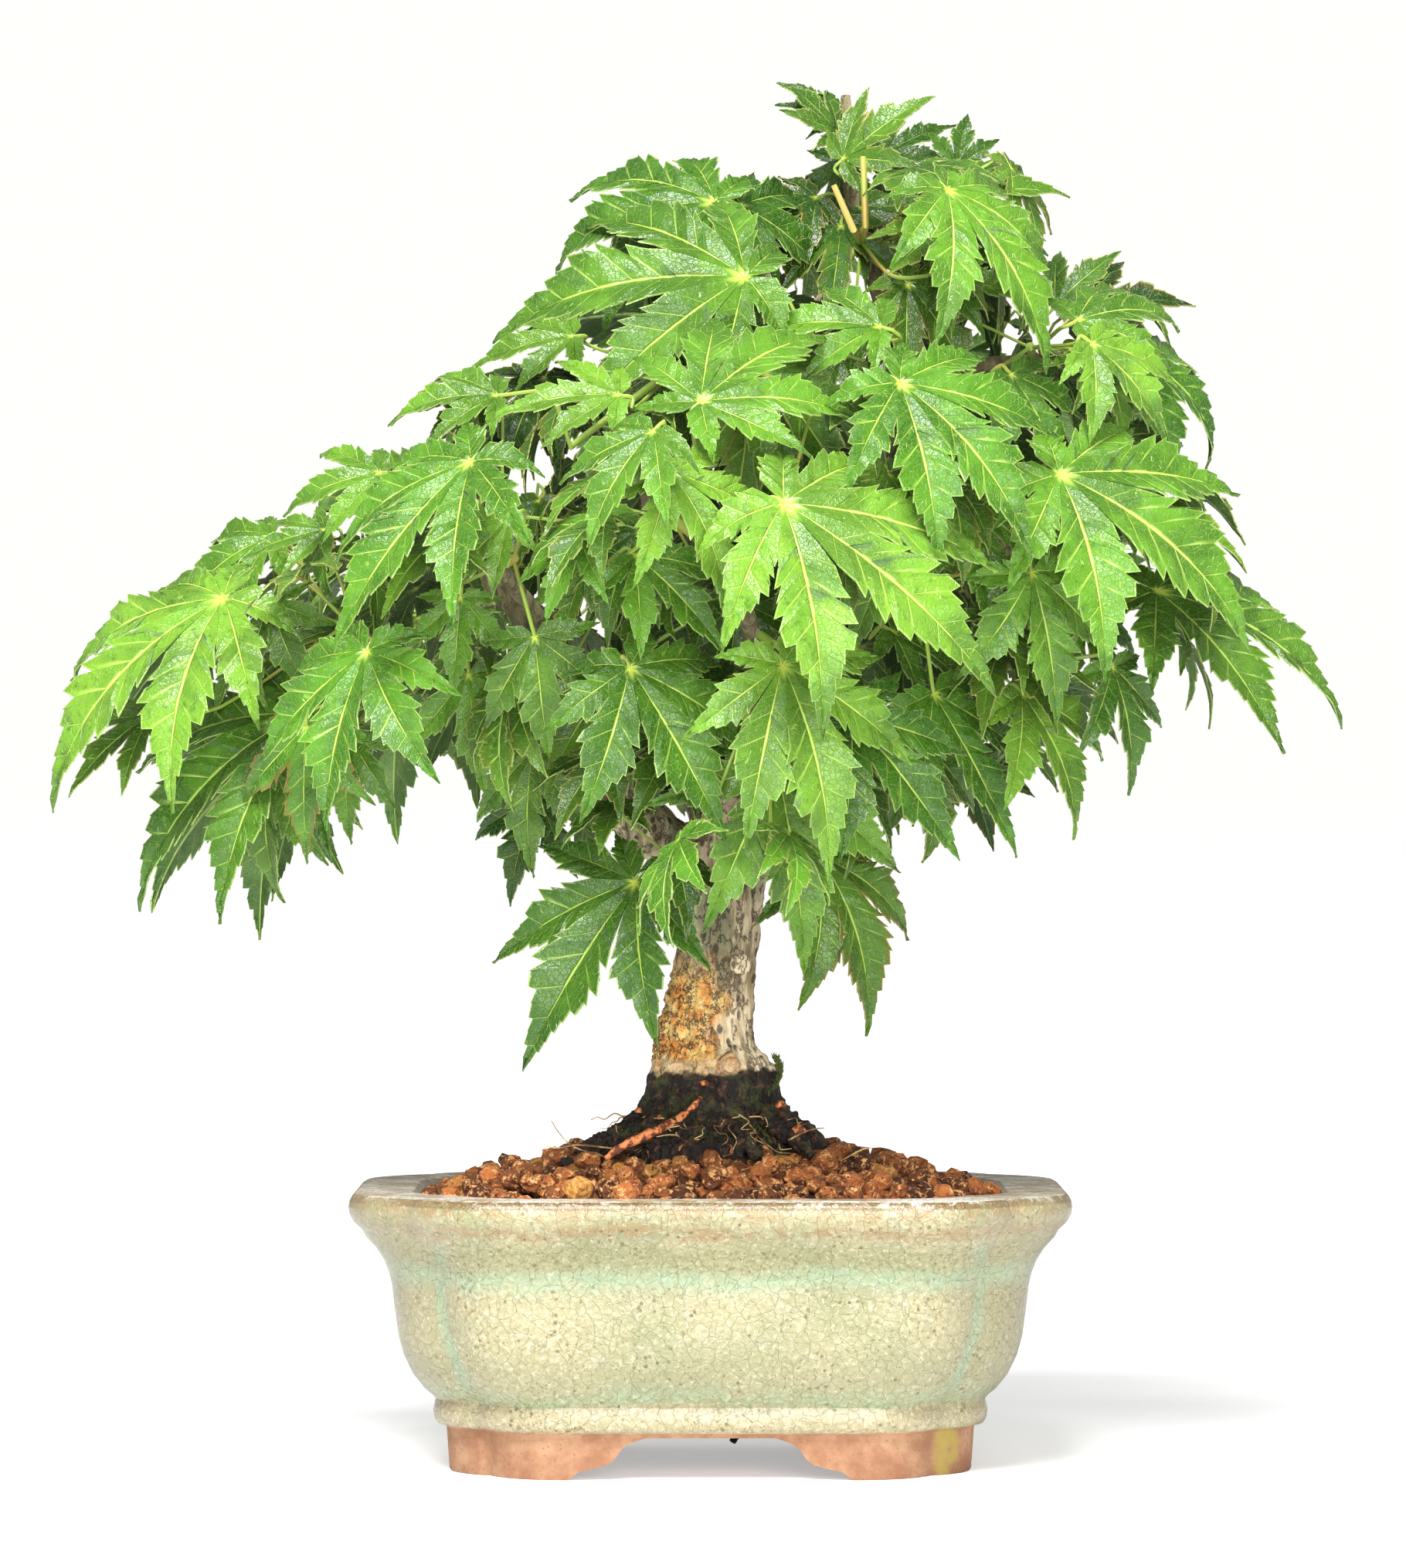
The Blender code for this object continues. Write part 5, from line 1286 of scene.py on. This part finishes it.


# Smaller leaves that fill the crown between the large ones: on the sprays' own nodes, on short
# sprigs out of the bare wood, whose green is painted darker as the shade inside the crown, and wherever one
# could look through.
def small_leaf(owner, foot, out, draw, low, high, reach, tries):
    """A small drooping leaf that clears all the others, on a stalk from foot, or None."""
    for _ in range(tries):
        way = Matrix.Rotation(draw.uniform(-0.9, 0.9), 3, "Z") @ out
        aside = Vector((-way.y, way.x, 0)) * draw.uniform(-0.5, 0.5) * reach
        hub = foot + way * draw.uniform(0.45, 1.0) * reach + aside
        hub += Vector((0, 0, draw.uniform(-0.25, 0.6) * reach))
        tilt = math.radians(draw.uniform(5, 62))
        along = (way * math.cos(tilt) - Vector((0, 0, math.sin(tilt)))).normalized()
        face = Vector((way.x * 0.5, way.y * 0.5, 1.0))
        face = (face - along * face.dot(along)).normalized()
        face = Matrix.Rotation(math.radians(draw.uniform(-25, 25)), 3, along) @ face
        length = draw.uniform(low, high)
        leaf = (hub, along, face, along.cross(face), length, draw.uniform(0.4, 1.0))
        lobes = lobes_of(length, draw, 22)
        if not within_crown(hub) or not clears(leaf, lobes):
            continue
        for bow in BOWS[:7]:
            path = stalk(foot, leaf, bow)
            if not room.blocks(path, 0.15, owner):
                room.add_leaf(owner, leaf, lobes, path)
                return leaf, lobes, path
    return None


# The crown's outline from the front, as (x, lowest z, highest z): no small leaf grows past it.
CROWN = [(-134, 143, 146), (-128, 128, 166), (-113, 118, 182), (-99, 117, 192), (-83, 127, 200),
         (-66, 140, 216), (-54, 142, 224), (-44, 128, 229), (-36, 100, 238), (-30, 100, 246),
         (-24, 102, 254), (-19, 104, 264), (0, 108, 269), (14, 104, 272), (17, 102, 283),
         (22, 100, 286), (31, 96, 283), (45, 102, 278), (61, 128, 274), (78, 132, 260), (95, 145, 244),
         (104, 150, 210), (112, 156, 192), (119, 163, 180), (130, 158, 162)]


def within_crown(p):
    """Whether a point lies inside the outline as the camera sees it, and inside the CAD model's box."""
    if any(p[i] < cad_low[i] or p[i] > cad_high[i] for i in range(3)):
        return False
    for (x0, low0, high0), (x1, low1, high1) in zip(CROWN, CROWN[1:]):
        if x0 <= p.x <= x1:
            share = (p.x - x0) / (x1 - x0)
            z = EYE[2] + (p.z - EYE[2]) / ((p.y - EYE[1]) / -EYE[1])
            deep = 20 + 72 * math.sqrt(max(0.0, 1 - max(0.0, (p.z - 165) / 125) ** 2))
            return low0 + (low1 - low0) * share <= z <= high0 + (high1 - high0) * share and abs(p.y) < deep
    return False


def clears(leaf, lobes):
    """Whether a small leaf keeps its lobes, and room for their teeth, in the crown, and meets no piece."""
    for angle, share in lobes:
        turned, reach = math.radians(angle), 1.03 * share * leaf[4]
        if not within_crown(bent(leaf, reach * math.cos(turned), reach * math.sin(turned))[0]):
            return False
    return not room.meets(plain_blade(leaf, lobes, 1.2))


def sight(point, azimuth):
    """Whether a line from a viewer on that side reaches the crown's middle without meeting a leaf."""
    eye = around(EYE, azimuth)
    way = (point - eye).normalized()
    reach = (point - eye).length + 6
    return not any(tree.ray_cast(eye, way, reach)[0]
                   for owner, tree, _, _ in room.pieces if owner == "blades")


for name, spray in grown.items():
    draw = random.Random("more " + name)
    out = Vector((spray["node"].x - 5, spray["node"].y, 0)).normalized()
    for _ in range(16):
        if len(spray["small"]) < 8:
            foot = spray["node"].lerp(spray["shoot"][0][0], draw.uniform(0, 0.6))
            found = small_leaf(name, foot, out, draw, 18, 36, 22, 3)
            if found:
                spray["small"].append(found)

# The small leaves round the dry bud at the top, then some along the upper edges of the crown:
# x, y, z, the way they point, how far they lean to the viewer, and their length
draw = random.Random("fill")
fills = []
for x, y, z, turn, lean, length in (
        (26, -9, 274.5, 125, 8, 16), (27, -13, 268, 40, 20, 22), (22, -14, 262, 205, 30, 24),
        (31, -12, 260, 330, 30, 26), (27, -17, 256, 268, 34, 25), (15, -12, 254, 170, 16, 26),
        (50, -38, 260, 12, -4, 26), (76, -20, 238, 18, -4, 25), (71, -24, 239, 48, -6, 20),
        (-45, -26, 219, 172, 2, 21), (-60, -28, 205, 200, 2, 21), (-78, -24, 192, 190, 2, 18)):
    foot, _ = nearest_branch(Vector((x, y, z)))
    for shift in (0, 3, -3, 6, -6, 9, -9, 12):
        leaf = leaf_frame((x, y + shift, z, turn, lean, length, 0.45), 0, AS_GIVEN, draw)
        lobes = lobes_of(length, draw, NEVER_WIDE)
        if not room.meets(plain_blade(leaf, lobes, 1.0)):
            break
    fills.append((leaf, lobes, stalk(foot, leaf, (0, 0))))
    room.add("blades", plain_blade(leaf, lobes, BLADE_THICK))

# Where one could look through the crown from the front, the back or an end, a leaf hangs from
# one of the nearest shoots, or after a few tries from the wood.
for azimuth, pitch in ((0, 6.5), (180, 11), (90, 12), (270, 12)):
    for column in range(round(270 / pitch)):
        for row in range(round(185 / pitch)):
            x = -133 + (column + draw.random()) * pitch
            z = 104 + (row + draw.random()) * pitch
            if azimuth in (90, 270):
                x *= 0.68
            spot = around((x, 0, z), azimuth)
            if z < 150 - 0.35 * abs(x) or not within_crown(spot) or not sight(spot, azimuth):
                continue
            turn = math.degrees(math.atan2(-75 + 0.95 * max(0, z - 215), x))
            for attempt in range(6):
                length = draw.uniform(20, 36)
                angle = turn + draw.uniform(-35, 35)
                back = length * 0.45
                hub = (x - back * math.cos(math.radians(angle)), 0, z - back * math.sin(math.radians(angle)))
                behind = Vector((hub[0], -20, hub[2]))
                feet = [(name, spray["node"]) for name, spray in grown.items()]
                feet.sort(key=lambda foot: (around(foot[1], -azimuth) - behind).length)
                owner, foot = draw.choice(feet[:5])
                if attempt > 3:
                    owner, foot = "wood", nearest_branch(around(hub, azimuth))[0]
                depth = min(0, around(foot, -azimuth).y) + draw.uniform(-14, 6)
                given = (hub[0], depth, hub[2], angle, draw.uniform(5, 45), length, draw.uniform(0.4, 1.0))
                leaf = leaf_frame(given, azimuth, AS_GIVEN, draw)
                lobes = lobes_of(length, draw, 24)
                if (leaf[0] - foot).length > 46 or not clears(leaf, lobes):
                    continue
                paths = (stalk(foot, leaf, bow) for bow in BOWS)
                path = next((path for path in paths if not room.blocks(path, 0.1, owner)), None)
                if path:
                    room.add_leaf(owner, leaf, lobes, path)
                    fills.append((leaf, lobes, path))
                    break

sprigs = []
for number, points in enumerate(BRANCHES.values()):
    draw = random.Random(f"sprig {number}")
    route = limb_path(points, 3)
    since = 0.0
    for (a, _), (b, thick) in zip(route, route[1:]):
        since += (b - a).length
        if since < 5 or b.z < 140:
            continue
        since = 0.0
        for _ in range(2):
            turn = draw.uniform(0, math.tau)
            out = Vector((math.cos(turn), math.sin(turn), 0))
            found = small_leaf("wood", b + Vector((0, 0, thick * 0.6)), out, draw, 18, 32, 17, 2)
            if found:
                sprigs.append(found)


def painted_leaf_light(p):
    """How much painted light a leaf's green gets, as painted shade inside the crown: most at the front and
    out at the sides, least low down in the middle.
    """
    shade = clamped((190 - p.z) / 50) * max(0.0, 1 - abs(p.x) / 60)
    return 1.02 - (p.y + 95 - 0.45 * abs(p.x)) / 112 - 0.35 * shade


def stem(path, steps, radius, sides):
    """A leaf stalk as a thin, smooth tube."""
    return tube([(p, radius) for p, _ in limb_path([(*p, r) for p, r in path], steps)], sides)


def small_blade(leaf, lobes, draw, painted_light):
    return leaf, lobes, draw, SMALL_TEETH, 1, (painted_light, painted_light * draw.uniform(0, 0.4), draw.uniform(0, 0.25))


for name, spray in grown.items():
    leaves, stems = [], []
    for i, (leaf, lobes, path) in enumerate(spray["leaves"]):
        draw = random.Random(f"blade {name} {i}")
        # The leaf's green is painted lighter or darker for its place in the crown: painted light and shade.
        painted_light = clamped(painted_leaf_light(around(leaf[0], -spray["azimuth"])) + draw.uniform(-0.2, 0.2))
        sunny = draw.uniform(0.0, 0.42) * painted_light
        blush = draw.uniform(0.2, 0.7) if draw.random() < 0.15 else 0.0
        teeth = 14 if leaf[4] > 44 else 12 if leaf[4] > 30 else 9
        leaves.append((leaf, lobes, draw, teeth, 2, (painted_light, sunny, blush)))
        stems.append(stem(path, 5, 0.42, 6))
    for i, (leaf, lobes, path) in enumerate(spray["small"]):
        draw = random.Random(f"small blade {name} {i}")
        # Small leaves are painted 0.15 darker: painted shade among the large ones.
        painted_light = clamped(painted_leaf_light(around(leaf[0], -spray["azimuth"])) - 0.15 + draw.uniform(-0.2, 0.2))
        leaves.append(small_blade(leaf, lobes, draw, painted_light))
        stems.append(stem(path, 3, 0.34, 5))
    stems.append(tube(spray["shoot"], 8))
    for stub in STUBS.get(name, []):
        stems.append(tube([(spray["node"], 0.8), (Vector(stub[0]), 0.75), (Vector(stub[1]), 0.62)], 8))
    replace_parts(spray_piece("leaves_" + name, leaves, stems), "spray_" + name)
inner = [(*leaf, 0.8) for leaf in sprigs] + [(*leaf, 1.0) for leaf in fills]
SPRIG_PIECES = 6
for group in range(SPRIG_PIECES):
    leaves, stems = [], []
    for i, (leaf, lobes, path, most) in enumerate(inner[group::SPRIG_PIECES]):
        draw = random.Random(f"sprig blade {group} {i}")
        # The green is painted darker near the crown's middle plane, and for sprigs no lighter than 0.8:
        # painted shade inside the crown.
        painted_light = clamped(0.05 + abs(leaf[0].y) / 110 + draw.uniform(-0.15, 0.35), most)
        leaves.append(small_blade(leaf, lobes, draw, painted_light))
        stems.append(stem(path, 3, 0.34, 5))
    spray_piece(f"sprig_leaves_{group + 1}", leaves, stems)

# Twigs: last year's thin brown shoots, which carry the sprays on the branches.
thin = mesh_piece("twigs", *merged(twigs), bark)
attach(thin, "root")
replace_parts(thin, "trunk")
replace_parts(trunk, "trunk")
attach(trunk, "root")

bpy.context.view_layer.update()
